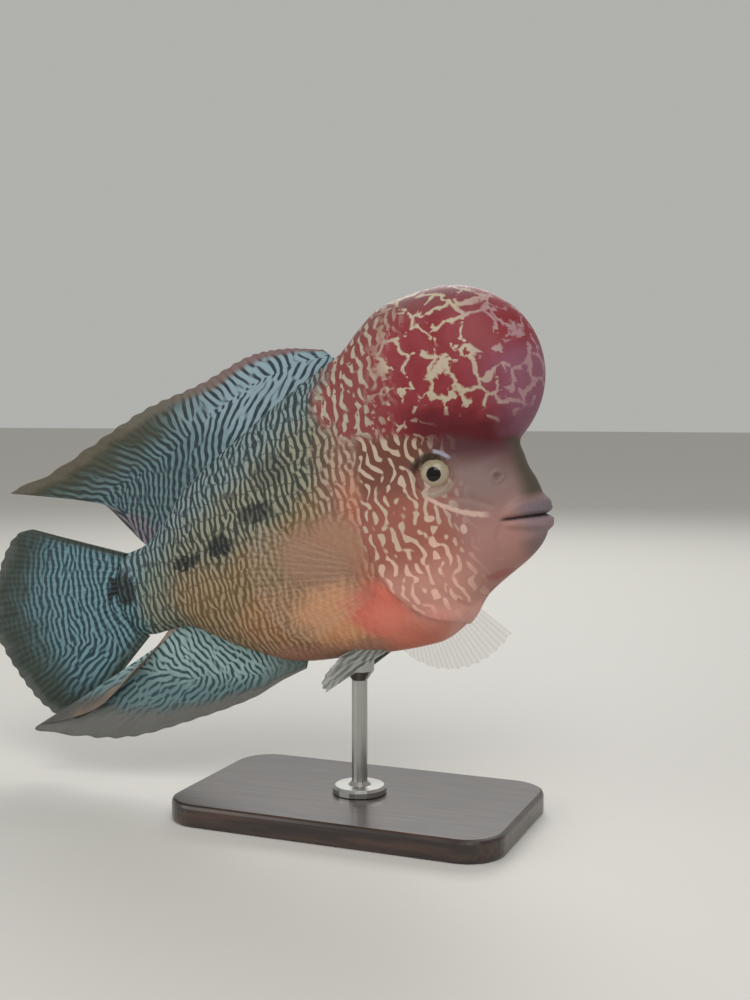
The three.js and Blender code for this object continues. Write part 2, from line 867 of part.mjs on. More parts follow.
const pieces = partedBody();
const eyeCentre = (side) => [EYE.x, side * EYE.y, EYE.h];
const cup = [EYE.radius + GAP, EYE.depth + GAP, EYE.radius + GAP];
for (const [name, probe] of Object.entries(PROBES)) {
  let piece = pieceAt(pieces, probe);
  if (name === "head") {
    for (const side of [-1, 1]) piece = piece.subtract(ball(eyeCentre(side), cup));
  }
  add(name, geometryOf(largest(piece)));
}
const eyeSize = [EYE.radius, EYE.depth, EYE.radius];
add("eye_right", geometryOf(ball(eyeCentre(-1), eyeSize)));
add("eye_left", geometryOf(ball(eyeCentre(1), eyeSize)));

const grownBody = solid(bodyMesh(GAP));
const rooted = (geometry) => geometryOf(largest(solid(geometry).subtract(grownBody)));
const TRAILING = { aim: [-46, 10, 4], across: [0, 0, 1], curl: -3 };
const SPREAD = { aim: [7, 14, -52], across: [1, 0, 0.1], curl: 4 };
const FOLDED = { aim: [-29, 6, -10], across: [0, 0, 1], curl: 1 };
add("dorsal_fin", dorsalFin());
add("anal_fin", analFin());
add("caudal_fin", caudalFin());
add("pectoral_fin_right", rooted(pectoralFin(-1, TRAILING)));
add("pectoral_fin_left", rooted(pectoralFin(1, SPREAD)));
add("pelvic_fin_right", rooted(pelvicFin(-1, FOLDED)));
add("pelvic_fin_left", rooted(pelvicFin(1, FOLDED)));
add("stand_base", standBase());
add("stand_rod", geometryOf(standRod(grownBody)));

export default model;
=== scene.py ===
# %% [markdown]
# # A flowerhorn cichlid as a life-size display model
# This lesson dresses a imported model of a fish with the surfaces that make it look alive. The imported model
# gives the place and size of each part. Here one skin takes the place of the flesh, and finer fins and eyes
# take the place of the plain solids, while the stand keeps its imported shape and gets new finishes. Lengths
# below are millimetres until a mesh is made.

# %% Load the imported model
import bpy
import numpy as np
from mathutils import Matrix


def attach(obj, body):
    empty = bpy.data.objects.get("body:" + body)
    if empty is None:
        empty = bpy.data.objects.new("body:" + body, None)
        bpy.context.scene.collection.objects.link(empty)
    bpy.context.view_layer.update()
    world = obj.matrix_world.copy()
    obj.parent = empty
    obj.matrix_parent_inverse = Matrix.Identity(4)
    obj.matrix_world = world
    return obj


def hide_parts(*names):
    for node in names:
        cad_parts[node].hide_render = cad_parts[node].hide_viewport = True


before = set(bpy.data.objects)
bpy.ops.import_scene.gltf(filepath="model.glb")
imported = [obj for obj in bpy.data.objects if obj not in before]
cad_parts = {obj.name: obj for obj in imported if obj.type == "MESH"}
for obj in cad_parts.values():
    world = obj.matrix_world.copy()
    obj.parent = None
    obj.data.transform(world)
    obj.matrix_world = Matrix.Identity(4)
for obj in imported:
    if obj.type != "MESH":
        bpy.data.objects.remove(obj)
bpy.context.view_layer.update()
MM = 0.001
print("nodes:", sorted(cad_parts))

# %% [markdown]
# ## The fish's own frame and its pose
# It is easiest to draw a fish straight, seen from the side. So each point has an x, which runs forward from
# the root of the tail fin to the snout, a y to the fish's left and an h upwards. The pose comes last: the
# body's middle line follows a gentle S seen from above, and the whole fish points its nose up. Another way
# would be an armature, but a formula keeps every piece on exactly the same curve.

# %% The pose
STANDARD_LENGTH = 200
PITCH = np.radians(16)
HEADINGS = np.array([[-30, 4], [40, -5], [90, -5], [160, 5]], float)
BASE_CENTRE_X = 118
BASE_HEIGHT = 9
FLOOR = -51.5 - 9 - BASE_HEIGHT


def smoothstep(start, end, value):
    """0 before start, 1 after end, and 3 t^2 - 2 t^3 between them."""
    t = np.clip((value - start) / (end - start), 0, 1)
    return t * t * (3 - 2 * t)


def middle_line(stations):
    """Place and heading of the middle line: headings ease from knot to knot and are summed step by step."""
    at = np.arange(-90, STANDARD_LENGTH + 31, 1.0)
    heading = np.full(at.shape, HEADINGS[0, 1])
    for (start, before), (end, after) in zip(HEADINGS[:-1], HEADINGS[1:]):
        eased = before + (after - before) * smoothstep(start, end, at)
        heading = np.where(at > start, eased, heading)
    heading = np.radians(heading)
    ahead = np.concatenate([[0], np.cumsum(np.cos(heading))[:-1]])
    aside = np.concatenate([[0], np.cumsum(np.sin(heading))[:-1]])
    ahead -= np.interp(0, at, ahead)
    aside -= np.interp(0, at, aside)
    return [np.interp(stations, at, values) for values in (ahead, aside, heading)]


def pose(points):
    """From the fish's frame to the model's: offsets y are square to the middle line, then all is pitched."""
    x, y, h = np.moveaxis(np.asarray(points, float), -1, 0)
    ahead, aside, heading = middle_line(x)
    ahead = ahead - y * np.sin(heading)
    aside = aside + y * np.cos(heading)
    forward = ahead * np.cos(PITCH) - h * np.sin(PITCH)
    upward = ahead * np.sin(PITCH) + h * np.cos(PITCH)
    return np.stack([forward, aside, upward], axis=-1)


STAND_POINT = pose([BASE_CENTRE_X, 0, 0])


def model_place(points):
    """A point of the fish's frame in metres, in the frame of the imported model."""
    return (pose(points) - [STAND_POINT[0], STAND_POINT[1], FLOOR]) * MM


print("snout at", model_place([STANDARD_LENGTH, 0, 0]).round(4))

# %% [markdown]
# ## Meshes from grids
# Every surface here is a function of two parameters, worked out for a whole grid at once. One helper turns
# such a grid into a mesh. It also stores vectors on the vertices, which the materials read. "fish" is the
# place in the fish's own frame, so that markings don't care about the pose. "wrap" is the place on the
# surface laid flat, with the direction across which the stripes change as its third number.


# %% Grid helpers
def quads(rows, columns, ring):
    """Corner numbers of the quads of a grid; a ring joins its last column to its first."""
    i, j = np.meshgrid(np.arange(rows - 1), np.arange(columns if ring else columns - 1), indexing="ij")
    k = (j + 1) % columns
    corners = [i * columns + j, i * columns + k, (i + 1) * columns + k, (i + 1) * columns + j]
    return np.stack(corners, -1).reshape(-1, 4)


def make_piece(name, points, faces, vectors):
    """A smooth mesh object from points in metres, with its vectors stored as named attributes."""
    mesh = bpy.data.meshes.new(name)
    mesh.from_pydata(points.reshape(-1, 3), [], faces)
    for key, values in vectors.items():
        layer = mesh.attributes.new(key, "FLOAT_VECTOR", "POINT")
        layer.data.foreach_set("vector", np.asarray(values, np.float32).reshape(-1))
    mesh.shade_smooth()
    mesh.validate()
    piece = bpy.data.objects.new(name, mesh)
    bpy.context.collection.objects.link(piece)
    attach(piece, "root")
    print(name, len(mesh.vertices), "vertices")
    return piece


def facing_out(points, faces):
    """The faces as they are, or turned round if the volume they enclose comes out negative."""
    a, b, c = (points.reshape(-1, 3)[[face[k] for face in faces]] for k in range(3))
    if np.einsum("ij,ij->i", a, np.cross(b, c)).sum() < 0:
        return [face[::-1] for face in faces]
    return faces


def curve_through(points):
    """A cubic through (x, value) points whose slopes come from the neighbouring points."""
    xs, values = np.array(points, float).T
    before = np.maximum(np.arange(len(xs)) - 1, 0)
    after = np.minimum(np.arange(len(xs)) + 1, len(xs) - 1)
    slopes = (values[after] - values[before]) / (xs[after] - xs[before])

    def curve(x):
        i = np.clip(np.searchsorted(xs, x) - 1, 0, len(xs) - 2)
        span = xs[i + 1] - xs[i]
        t = np.clip((x - xs[i]) / span, 0, 1)
        rise = values[i] * (2 * t**3 - 3 * t**2 + 1) + values[i + 1] * (3 * t**2 - 2 * t**3)
        return rise + span * (slopes[i] * (t**3 - 2 * t**2 + t) + slopes[i + 1] * (t**3 - t**2))

    return curve


# %% [markdown]
# ## The shape of the body
# A fish's body could be sculpted, or lofted through rings. Here it is a distance formula: a flattened trunk
# between a back line and a belly line, and rounded masses for hump, nape, face, snout and cheeks, melted
# together where they meet. A narrow melt leaves a crease, as under the front of the hump, and a wide one
# leaves none, as at the nape. Relief such as the edge of the gill cover is then taken off the distance.

# %% Outlines and masses
BACK = [(-8, 29), (0, 31), (20, 33.5), (46, 51), (81, 65.5)]
BACK += [(113, 77), (140, 81), (160, 66), (180, 40), (190, 26)]
BELLY = [(-8, -1), (8, -6), (31, -7), (54, -20), (78, -31)]
BELLY += [(104, -34.5), (143, -37), (155, -33), (168, -23), (190, -9)]
WIDTH = [(-8, 2.2), (0, 3.4), (12, 5.6), (30, 9.5), (60, 15)]
WIDTH += [(100, 20), (130, 22), (150, 21), (170, 16.5), (190, 10)]
GILL = [(-31, 157), (-25, 146), (-11, 136), (5, 132.5), (25, 134.5), (44, 137), (52, 138)]
back_line, belly_line = curve_through(BACK), curve_through(BELLY)
half_width, gill_edge = curve_through(WIDTH), curve_through(GILL)
WIDEST_AT = 0.42
TRUNK_FRONT = 187
HUMP = ((174.5, 0, 62.5), (38, 24, 36))
CROWN = ((160.5, 0, 63.5), (23.5, 18, 30.5))
NAPE = ((142, 0, 52), (31.5, 17, 28.5))
FACE = ((170, 0, 10), (28.3, 14, 26))
BRIDGE = ((180, 0, 27), (15, 11, 11))
SNOUT = ((181, 0, 0.5), (16.2, 9.5, 12.5))
CHEEK = ((148, 9, 5), (22, 13.5, 35))
EYE = (162.3, 14.6, 27)
EYE_RADIUS = 6.8
EYE_DEPTH = 4.9
MOUTH_TIP = (200, 1.2)
MOUTH_CORNER = (184, 3.4)
NOSTRIL = (185.5, 20)


def tail_end(h):
    """Station of the rear end of the flesh, an arc that bulges backwards."""
    return -2 + 9 * ((h - 13) / 20) ** 2


def melt(a, b, width):
    """The lower of two distances, rounded where they are within width of each other."""
    near = np.maximum(width - np.abs(a - b), 0) / width
    return np.minimum(a, b) - near * near * width / 4


def ellipsoid(x, y, h, shape):
    """Distance from an ellipsoid: k (k - 1) over the slope of k, where k is 1 on its surface."""
    centre, half = shape
    q = [(value - c) / r for value, c, r in zip((x, y, h), centre, half)]
    k = np.sqrt(sum(v * v for v in q) + 1e-9)
    return k * (k - 1) / np.sqrt(sum((v / r) ** 2 for v, r in zip(q, half)) + 1e-9)


def trunk(x, y, h):
    """Distance from the trunk: each section is a superellipse, fuller below its widest height than above."""
    top, bottom = back_line(x), belly_line(x)
    widest = bottom + (top - bottom) * WIDEST_AT
    half = np.where(h > widest, top - widest, widest - bottom)
    power = np.where(h > widest, 1.9, 2.2)
    width = half_width(x)
    u = np.abs(y) / width + 1e-6
    v = np.abs(h - widest) / half + 1e-6
    k = (u**power + v**power) ** (1 / power)
    slope = k ** (1 - power) * np.hypot(u ** (power - 1) / width, v ** (power - 1) / half)
    ends = -melt(-(k - 1) / slope, -(x - TRUNK_FRONT), 12)
    return -melt(-ends, -(tail_end(h) - x), 3)


def bell(value, width):
    """A bell of height 1 and the given width."""
    return np.exp(-((value / width) ** 2))


def crease(x, h, path, width):
    """A bell across a bent line given by its points in side view, fading at its two ends."""
    best = np.full(np.broadcast(x, h).shape, 99.0)
    for (xa, ha), (xb, hb) in zip(path[:-1], path[1:]):
        run, rise = xb - xa, hb - ha
        t = np.clip(((x - xa) * run + (h - ha) * rise) / (run * run + rise * rise), 0, 1)
        best = np.minimum(best, np.hypot(x - xa - run * t, h - ha - rise * t))
    return bell(best, width)


def mouth_place(x, h):
    """How far along the mouth a point is, 0 at its tip and 1 at its corner, and its height over the slit."""
    along = np.clip((MOUTH_TIP[0] - x) / (MOUTH_TIP[0] - MOUTH_CORNER[0]), 0, 1.6)
    return along, h - (MOUTH_TIP[1] + (MOUTH_CORNER[1] - MOUTH_TIP[1]) * along)


def relief(x, y, h):
    """Millimetres by which the skin stands out: gill covers, lips, nostrils, folds and eye rims."""
    side = np.abs(y)
    past = x - gill_edge(h)
    gill = 1.3 * smoothstep(-0.5, 0.5, past) * (1 - smoothstep(4, 26, past)) * (1 - smoothstep(40, 52, h))
    along, off = mouth_place(x, h)
    fade = 1 - smoothstep(0.85, 1.2, along)
    size = np.where(off > 0, 6.5 + 6.2 * along - 10.5 * along * along, 6.2 - 3.2 * along)
    height = 1.7 * (1 - 0.45 * along)
    pad = smoothstep(0, 2.2, np.abs(off)) * (1 - smoothstep(size - 1.6, size + 1.6, np.abs(off)))
    slit = 1.2 * bell(off, 0.5)
    lips = fade * (height * pad * (1 + 0.05 * np.sin(x * 4) * smoothstep(2, 5, side)) - slit)
    from_nostril = np.hypot(x - NOSTRIL[0], h - NOSTRIL[1])
    nostril = (bell(from_nostril, 1.0) - 0.35 * bell(from_nostril - 1.9, 0.7)) * (side > 5)
    from_eye = np.hypot(x - EYE[0], h - EYE[2])
    rim = (0.6 * bell(from_eye - 7.4, 0.9) - smoothstep(6.9, 5.9, from_eye)) * (side > 8)
    folds = 0.5 * crease(x, h, [(183, 2.5), (179.5, -3), (178.5, -10)], 1.0) * (side > 3)
    cover_fold = [(150, 30), (147, 14), (148, -2), (153, -15), (161, -25)]
    folds = folds + 0.45 * crease(x, h, cover_fold, 1.1) * (side > 8)
    folds = folds + 0.35 * crease(x, h, [(166, 17), (173, 15), (181, 10)], 1.0) * (side > 5)
    for k in range(4):
        arc = [(150 + 5 * k, -35 + 3.2 * k), (160 + 4 * k, -30 + 3.2 * k), (169 + 3 * k, -21 + 3 * k)]
        folds = folds + 0.22 * crease(x, h, arc, 0.8) * (side > 2)
    return gill + lips - nostril + rim - folds


def body(x, y, h):
    """The whole body as one distance, below zero inside."""
    d = melt(trunk(x, y, h), ellipsoid(x, y, h, NAPE), 10)
    d = melt(d, ellipsoid(x, y, h, FACE), 8)
    d = melt(d, ellipsoid(x, y, h, SNOUT), 7)
    d = melt(d, ellipsoid(x, y, h, BRIDGE), 5)
    d = melt(d, ellipsoid(x, np.abs(y), h, CHEEK), 6)
    d = melt(d, ellipsoid(x, y, h, CROWN), 10)
    d = melt(d, ellipsoid(x, y, h, HUMP), 14 - 10 * smoothstep(145, 190, x))
    return d - relief(x, y, h)


# %% [markdown]
# ## The skin
# To make a surface from a distance formula, rays are sent out from a line inside the body until they leave
# it. Along the trunk the rays spread as rings, and in the head the rings close like an umbrella over the
# mouth, so the finest part of the grid lies on the lips. All rays are halved together, as whole arrays.

# %% The skin's grid
TRUNK_RINGS, HEAD_RINGS, SPOKES = 125, 205, 276
HEAD_CENTRE = (150, 22)
MOUTH_SLOPE = np.radians(25.6)


def ray_grid():
    """Start and direction of each ray, for rings by spokes."""
    s = np.linspace(0, 1, TRUNK_RINGS + 1)
    t = np.linspace(0, 1, HEAD_RINGS + 1)[1:]
    start_x = np.concatenate([-1.5 + (HEAD_CENTRE[0] + 1.5) * s, np.full(HEAD_RINGS, HEAD_CENTRE[0])])
    start_h = np.concatenate([13 + (HEAD_CENTRE[1] - 13) * s, np.full(HEAD_RINGS, HEAD_CENTRE[1])])
    tilt = np.concatenate([-MOUTH_SLOPE * smoothstep(0.2, 1, s), np.full(HEAD_RINGS, -MOUTH_SLOPE)])[:, None]
    opening = np.radians(np.concatenate([180 - 90 * np.minimum(s / 0.09, 1), 90 * (1 - t)]))
    angle = np.linspace(0, 2 * np.pi, SPOKES, endpoint=False)
    side, up = np.cos(angle) * 0.5, np.sin(angle)
    ahead = np.cos(opening)[:, None] * np.ones(SPOKES)
    out = np.sin(opening)[:, None] / np.hypot(side, up)
    forward = ahead * np.cos(tilt) - out * up * np.sin(tilt)
    upward = ahead * np.sin(tilt) + out * up * np.cos(tilt)
    start = np.stack([start_x[:, None] + 0 * ahead, 0 * ahead, start_h[:, None] + 0 * ahead])
    return start, np.stack([forward, out * side, upward])


def surface_points():
    """Where each ray leaves the body: the stretch that holds the surface is halved again and again."""
    start, direction = ray_grid()
    near = np.zeros(start.shape[1:])
    far = np.full(start.shape[1:], 120.0)
    for _ in range(22):
        middle = (near + far) / 2
        inside = body(*(start + direction * middle)) < 0
        near = np.where(inside, middle, near)
        far = np.where(inside, far, middle)
    return np.moveaxis(start + direction * near, 0, -1)


def girth(rings):
    """Height of each point as if its ring were laid flat: the way round from the ring's side spokes."""
    step = np.linalg.norm(np.diff(rings, axis=1, append=rings[:, :1]), axis=-1)
    round_to = np.concatenate([np.zeros((len(rings), 1)), np.cumsum(step, axis=1)[:, :-1]], axis=1)
    whole = step.sum(axis=1, keepdims=True)
    half = round_to[:, SPOKES // 2][:, None]
    quarter = round_to[:, SPOKES // 4][:, None]
    low = round_to[:, 3 * SPOKES // 4][:, None]
    upper = np.where(round_to < quarter, round_to, half - round_to)
    lower = np.where(round_to < low, half - round_to, round_to - whole)
    return np.where(round_to <= half, upper, lower)


skin_points = surface_points()
rings = skin_points[1:-1]
flat_height = girth(rings) + 22
trunk_share = smoothstep(1, 0.7, np.arange(1, len(rings) + 1) / TRUNK_RINGS)[:, None]
flat_height = trunk_share * flat_height + (1 - trunk_share) * rings[..., 2]
two_ends = [skin_points[:1].mean(axis=1), skin_points[-1:].mean(axis=1)]
skin_places = np.concatenate([rings.reshape(-1, 3), *two_ends])
flat_height = np.concatenate([flat_height.reshape(-1), [13, MOUTH_TIP[1]]])
flank_angle = np.radians(9 * smoothstep(0, 40, skin_places[:, 2]) - 4)
wrap = np.stack([skin_places[:, 0], flat_height, flank_angle], -1)
hump_edge = 33 + 0.29 * np.maximum(189 - skin_places[:, 0], 0)
flank_edge = 14 + 0.0034 * np.maximum(skin_places[:, 0] - 45, 0) ** 2
past_gill = skin_places[:, 0] - gill_edge(skin_places[:, 2])
zones = np.stack([past_gill, skin_places[:, 2] - hump_edge, skin_places[:, 2] - flank_edge], -1)
spoke = np.arange(SPOKES)
after = np.roll(spoke, -1)
front = (len(rings) - 1) * SPOKES
tail_fan = np.stack([after, spoke, np.full(SPOKES, len(skin_places) - 2)], -1).tolist()
mouth_fan = np.stack([front + spoke, front + after, np.full(SPOKES, len(skin_places) - 1)], -1).tolist()
placed = model_place(skin_places)
skin_faces = facing_out(placed, quads(len(rings), SPOKES, True).tolist() + tail_fan + mouth_fan)
skin = make_piece("fish_skin", placed, skin_faces, {"fish": skin_places, "wrap": wrap, "zones": zones})
BODY = ("tail_stalk", "trunk", "head", "nuchal_hump", "upper_jaw", "lower_jaw")
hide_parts(*BODY, "gill_cover_right", "gill_cover_left")

# %% [markdown]
# ## Fins
# A fin is a thin skin stretched between rays. Each one is made from two curves, its root and its edge, with
# a ray from each point of the root to the matching point of the edge. The front and back faces lie a
# little apart, further at the root and on the rays, so the rays are real ridges. Towards the edge each soft
# ray splits in two, and between stiff spines the edge is cut in.


# %% The fin surface
def unit(vectors):
    """Vectors of length 1 in the same directions."""
    return vectors / (np.linalg.norm(vectors, axis=-1, keepdims=True) + 1e-9)


def fin_surface(name, fin, node):
    """Two faces on a grid of s along the root and t along the rays, closed by a strip round the rim."""
    rows, columns = 56, fin["rays"] * 8 + 1
    s = np.linspace(0, 1, columns)[None, :]
    t = np.linspace(0, 1, rows)[:, None]
    (root_a, root_b), (tip_a, tip_b) = fin["root"](s), fin["tip"](s)
    turns = 2 * np.pi * s * fin["rays"]
    wave = 0.5 + 0.5 * np.cos(turns)
    branch = smoothstep(0.35, 0.75, t) * smoothstep(fin["spiny"], fin["spiny"] + 0.15, s)
    ridge = (1 - branch) * wave**3 + branch * (0.5 + 0.5 * np.cos(2 * turns)) ** 2
    reach = t * (1 - fin["notch"] * (1 - wave) * smoothstep(0.6, 1, t))
    a = root_a + (tip_a - root_a) * reach
    b = root_b + (tip_b - root_b) * reach
    thick = fin["root_thick"] + (fin["edge_thick"] - fin["root_thick"]) * np.sqrt(t)
    thick = thick + fin["ridge"] * ridge * (1 - t) ** 0.6
    sway = fin["sway"](s, t) + fin["ripple"] * t * np.sin(turns / 2)
    sides = [fin["frame"](a, sway + sign * thick / 2, b) for sign in (1, -1)]
    near, far = (np.stack(np.broadcast_arrays(*side), -1) for side in sides)
    places = np.concatenate([near.reshape(-1, 3), far.reshape(-1, 3)])
    count = rows * columns
    face = quads(rows, columns, False)
    index = np.arange(count).reshape(rows, columns)
    rim = np.concatenate([index[0, :-1], index[:-1, -1], index[-1, :0:-1], index[:0:-1, 0]])
    beyond = np.roll(rim, -1)
    strip = np.stack([rim, rim + count, beyond + count, beyond], -1)
    every = np.concatenate([face, face[:, ::-1] + count, strip]).tolist()
    a, b = np.broadcast_arrays(a, b)
    flat = np.stack([a, b], -1)
    along_rays = unit(np.gradient(flat, axis=0))
    across_rays = np.stack([along_rays[..., 1], -along_rays[..., 0]], -1)
    share, angle = (np.broadcast_to(value, a.shape) for value in fin["lie"](s, t))
    drawn = np.stack([np.cos(np.radians(angle)), np.sin(np.radians(angle))], -1)
    toward = np.where((share > 0)[..., None], across_rays, along_rays)
    toward = toward * np.sign((toward * drawn).sum(-1, keepdims=True) + 1e-9)
    lie = drawn * (1 - np.abs(share))[..., None] + toward * np.abs(share)[..., None]
    packed = np.interp(a, *fin["packing"]) if "packing" in fin else a
    wrapped = np.stack([packed, b, np.arctan2(lie[..., 1], lie[..., 0])], -1)
    grain = np.stack(np.broadcast_arrays(s, t, ridge), -1)
    vectors = {"fish": places, "wrap": np.stack([wrapped, wrapped]), "grain": np.stack([grain, grain])}
    points = model_place(places)
    piece = make_piece(name, points, facing_out(points, every), vectors)
    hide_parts(node)
    return piece


def crest(x, sign):
    """Height of the skin on the middle line at stations x, above for sign 1 and below for sign -1."""
    near = np.full(np.shape(x), 12.0)
    far = np.full(np.shape(x), 140.0 * sign)
    for _ in range(30):
        middle = (near + far) / 2
        inside = body(x, 0 * x, middle) < 0
        near = np.where(inside, middle, near)
        far = np.where(inside, far, middle)
    return near


def on_middle_line(a, offset, b):
    """A fin of the middle line: a is the station, b the height and the offset goes to the left."""
    return a, offset, b


SUNK = 1.0


def along_crest(start, end, sign):
    """Root of a fin that runs along the back or the belly, sunk a little into the skin."""

    def root(s):
        x = start + (end - start) * s
        return x, crest(x, sign) - sign * SUNK

    return root


def edge_curve(edge):
    """Edge of a fin over s, from a list of s, station and height."""
    across, up = curve_through([row[:2] for row in edge]), curve_through([row[::2] for row in edge])
    return lambda s: (across(s), up(s))


# %% [markdown]
# Each fin also says how its stripes lie. A share of 1 makes them run along the rays, a share of -1 makes
# them cross the rays, and in between the given angle counts. On the dorsal fin the bands bend like arrows
# that point forwards; near the tips they turn into streaks between the rays.

# %% The three middle fins
DORSAL_EDGE = [(0, 127, 88.5), (0.15, 109, 94.5), (0.3, 91, 96.5), (0.45, 66, 92), (0.6, 36, 89)]
DORSAL_EDGE += [(0.72, 2, 81), (0.77, -20, 75.5), (0.82, -43, 72.5)]
DORSAL_EDGE += [(0.9, -16, 65.5), (0.96, -1, 58), (1, 11, 41)]
ANAL_EDGE = [(0, 82, -35.5), (0.1, 68, -38.5), (0.2, 52, -43), (0.4, 21, -46.5), (0.6, -10, -47.5)]
ANAL_EDGE += [(0.75, -34, -42), (0.84, -56, -33.5), (0.92, -24, -32), (1, 4, -18)]
CAUDAL_CENTRE = (3, 13)


def caudal_root(s):
    """The curved rear end of the flesh, from its upper corner to its lower one."""
    h = 31.5 + (-6.5 - 31.5) * s
    return tail_end(h) + SUNK, h


def caudal_edge(s):
    """A fan about the end of the tail stalk, longest in its middle and pulled in at its corners."""
    degrees = 136 + (232 - 136) * s
    angle = np.radians(degrees)
    radius = 70 * (1 - 0.16 * np.abs(2 * s - 1) ** 8) + 7 * bell(degrees - 174, 17)
    return CAUDAL_CENTRE[0] + radius * np.cos(angle), CAUDAL_CENTRE[1] + radius * np.sin(angle)


def dorsal_lie(s, t):
    """Arrows in front, upright lines at the rear of the base, and lines along the rays near the point."""
    arrow = -38 + 68 * smoothstep(0.45, 0.58, t)
    rear = smoothstep(0.42, 0.6, s)
    return 0.92 * smoothstep(0.5, 0.64, s) * smoothstep(0.32, 0.52, t), arrow * (1 - rear) - 14 * rear


MIDDLE_FIN = {"root_thick": 1.6, "edge_thick": 0.45, "ridge": 0.42, "ripple": 0.12, "frame": on_middle_line}
DORSAL = MIDDLE_FIN | {
    "rays": 29,
    "spiny": 0.55,
    "notch": 0.02,
    "root": along_crest(132, 19, 1),
    "tip": edge_curve(DORSAL_EDGE),
    "sway": lambda s, t: 3 * t * t * np.sin(2.2 * np.pi * s),
    "lie": dorsal_lie,
    "packing": ([-60, 40, 70, 135], [-63, 42, 67, 116]),
}
ANAL = MIDDLE_FIN | {
    "rays": 17,
    "spiny": 0.35,
    "notch": 0.015,
    "root": along_crest(84, 20, -1),
    "tip": edge_curve(ANAL_EDGE),
    "sway": lambda s, t: -9 * t * t * smoothstep(0.2, 0.8, s),
    "lie": lambda s, t: (0.95 * smoothstep(0.3, 0.55, t) + 0 * s, 32.0),
}
CAUDAL = MIDDLE_FIN | {
    "rays": 20,
    "spiny": -1,
    "notch": 0.012,
    "root": caudal_root,
    "tip": caudal_edge,
    "root_thick": 2.2,
    "sway": lambda s, t: 4 * t * t + 2.5 * t * np.sin(2 * np.pi * s),
    "lie": lambda s, t: (-1 + 1.9 * smoothstep(0.6, 0.85, s + 0.15 * t) * smoothstep(0.05, 0.35, t), 0.0),
}
dorsal_fin = fin_surface("fish_dorsal_fin", DORSAL, "dorsal_fin")
anal_fin = fin_surface("fish_anal_fin", ANAL, "anal_fin")
caudal_fin = fin_surface("fish_caudal_fin", CAUDAL, "caudal_fin")

# %% [markdown]
# The paired fins are drawn flat and then set on the body by three directions: where the middle ray aims,
# how the blade lies across it, and the normal of the two. The right breast fin trails along the flank
# and the left one is spread down, as a fish does when it holds its place in the water.


# %% The paired fins
def set_on(root, aim, across, side):
    """Frame of a flat fin at root: its own axes become aim, across and their normal, mirrored by side."""
    forward = np.array(aim, float) / np.linalg.norm(aim)
    normal = np.cross(forward, across)
    normal = normal / np.linalg.norm(normal)
    wide = np.cross(normal, forward)

    def place(a, offset, b):
        a, offset, b = np.broadcast_arrays(a, offset, b)
        x, y, h = (root[k] + forward[k] * a + wide[k] * b + normal[k] * offset for k in range(3))
        return x, y * side, h

    return place


def pectoral(side, aim, across, curl):
    """A rounded paddle: rays fan from a short root, the upper ones longest."""

    def edge(s):
        angle = np.radians(36 - 74 * s)
        reach = 51 * (1 - 0.34 * s * s)
        return reach * np.cos(angle), reach * np.sin(angle)

    return {
        "rays": 13,
        "spiny": -1,
        "notch": 0.015,
        "root": lambda s: (0 * s, 6.5 - 13 * s),
        "tip": edge,
        "root_thick": 1.2,
        "edge_thick": 0.3,
        "ridge": 0.4,
        "ripple": 0.15,
        "sway": lambda s, t: curl * t * t,
        "lie": lambda s, t: (0 * s * t, 90.0),
        "frame": set_on((131, 20.5, -6), aim, across, side),
    }


def pelvic(side, aim, across, curl):
    """A pointed fin whose outer rays are the longest."""

    def edge(s):
        angle = np.radians(16 - 24 * s)
        reach = 30 * (0.6 + 0.4 * smoothstep(0, 0.8, s))
        return reach * np.cos(angle), reach * np.sin(angle)

    return {
        "rays": 6,
        "spiny": 0.1,
        "notch": 0.03,
        "root": lambda s: (0 * s, 3.5 - 7 * s),
        "tip": edge,
        "root_thick": 1.5,
        "edge_thick": 0.35,
        "ridge": 0.7,
        "ripple": 0.2,
        "sway": lambda s, t: curl * t * t,
        "lie": lambda s, t: (0 * s * t, 80.0),
        "frame": set_on((122, 6.5, -32), aim, across, side),
    }


TRAILING = ((-46, 10, 4), (0, 0, 1), -3)
SPREAD = ((7, 14, -52), (1, 0, 0.1), 4)
FOLDED = ((-29, 6, -10), (0, 0, 1), 1)
paired = {}
for side, hand, breast in ((-1, "right", TRAILING), (1, "left", SPREAD)):
    fin = pectoral(side, *breast)
    paired["pectoral", hand] = fin_surface(f"fish_pectoral_{hand}", fin, f"pectoral_fin_{hand}")
    fin = pelvic(side, *FOLDED)
    paired["pelvic", hand] = fin_surface(f"fish_pelvic_{hand}", fin, f"pelvic_fin_{hand}")

# %% [markdown]
# ## Eyes
# A fish's eye is a ball pressed flat from the side, with no lids. It is a profile of circles from the
# middle of the pupil outwards, so that the material can ring it by distance.


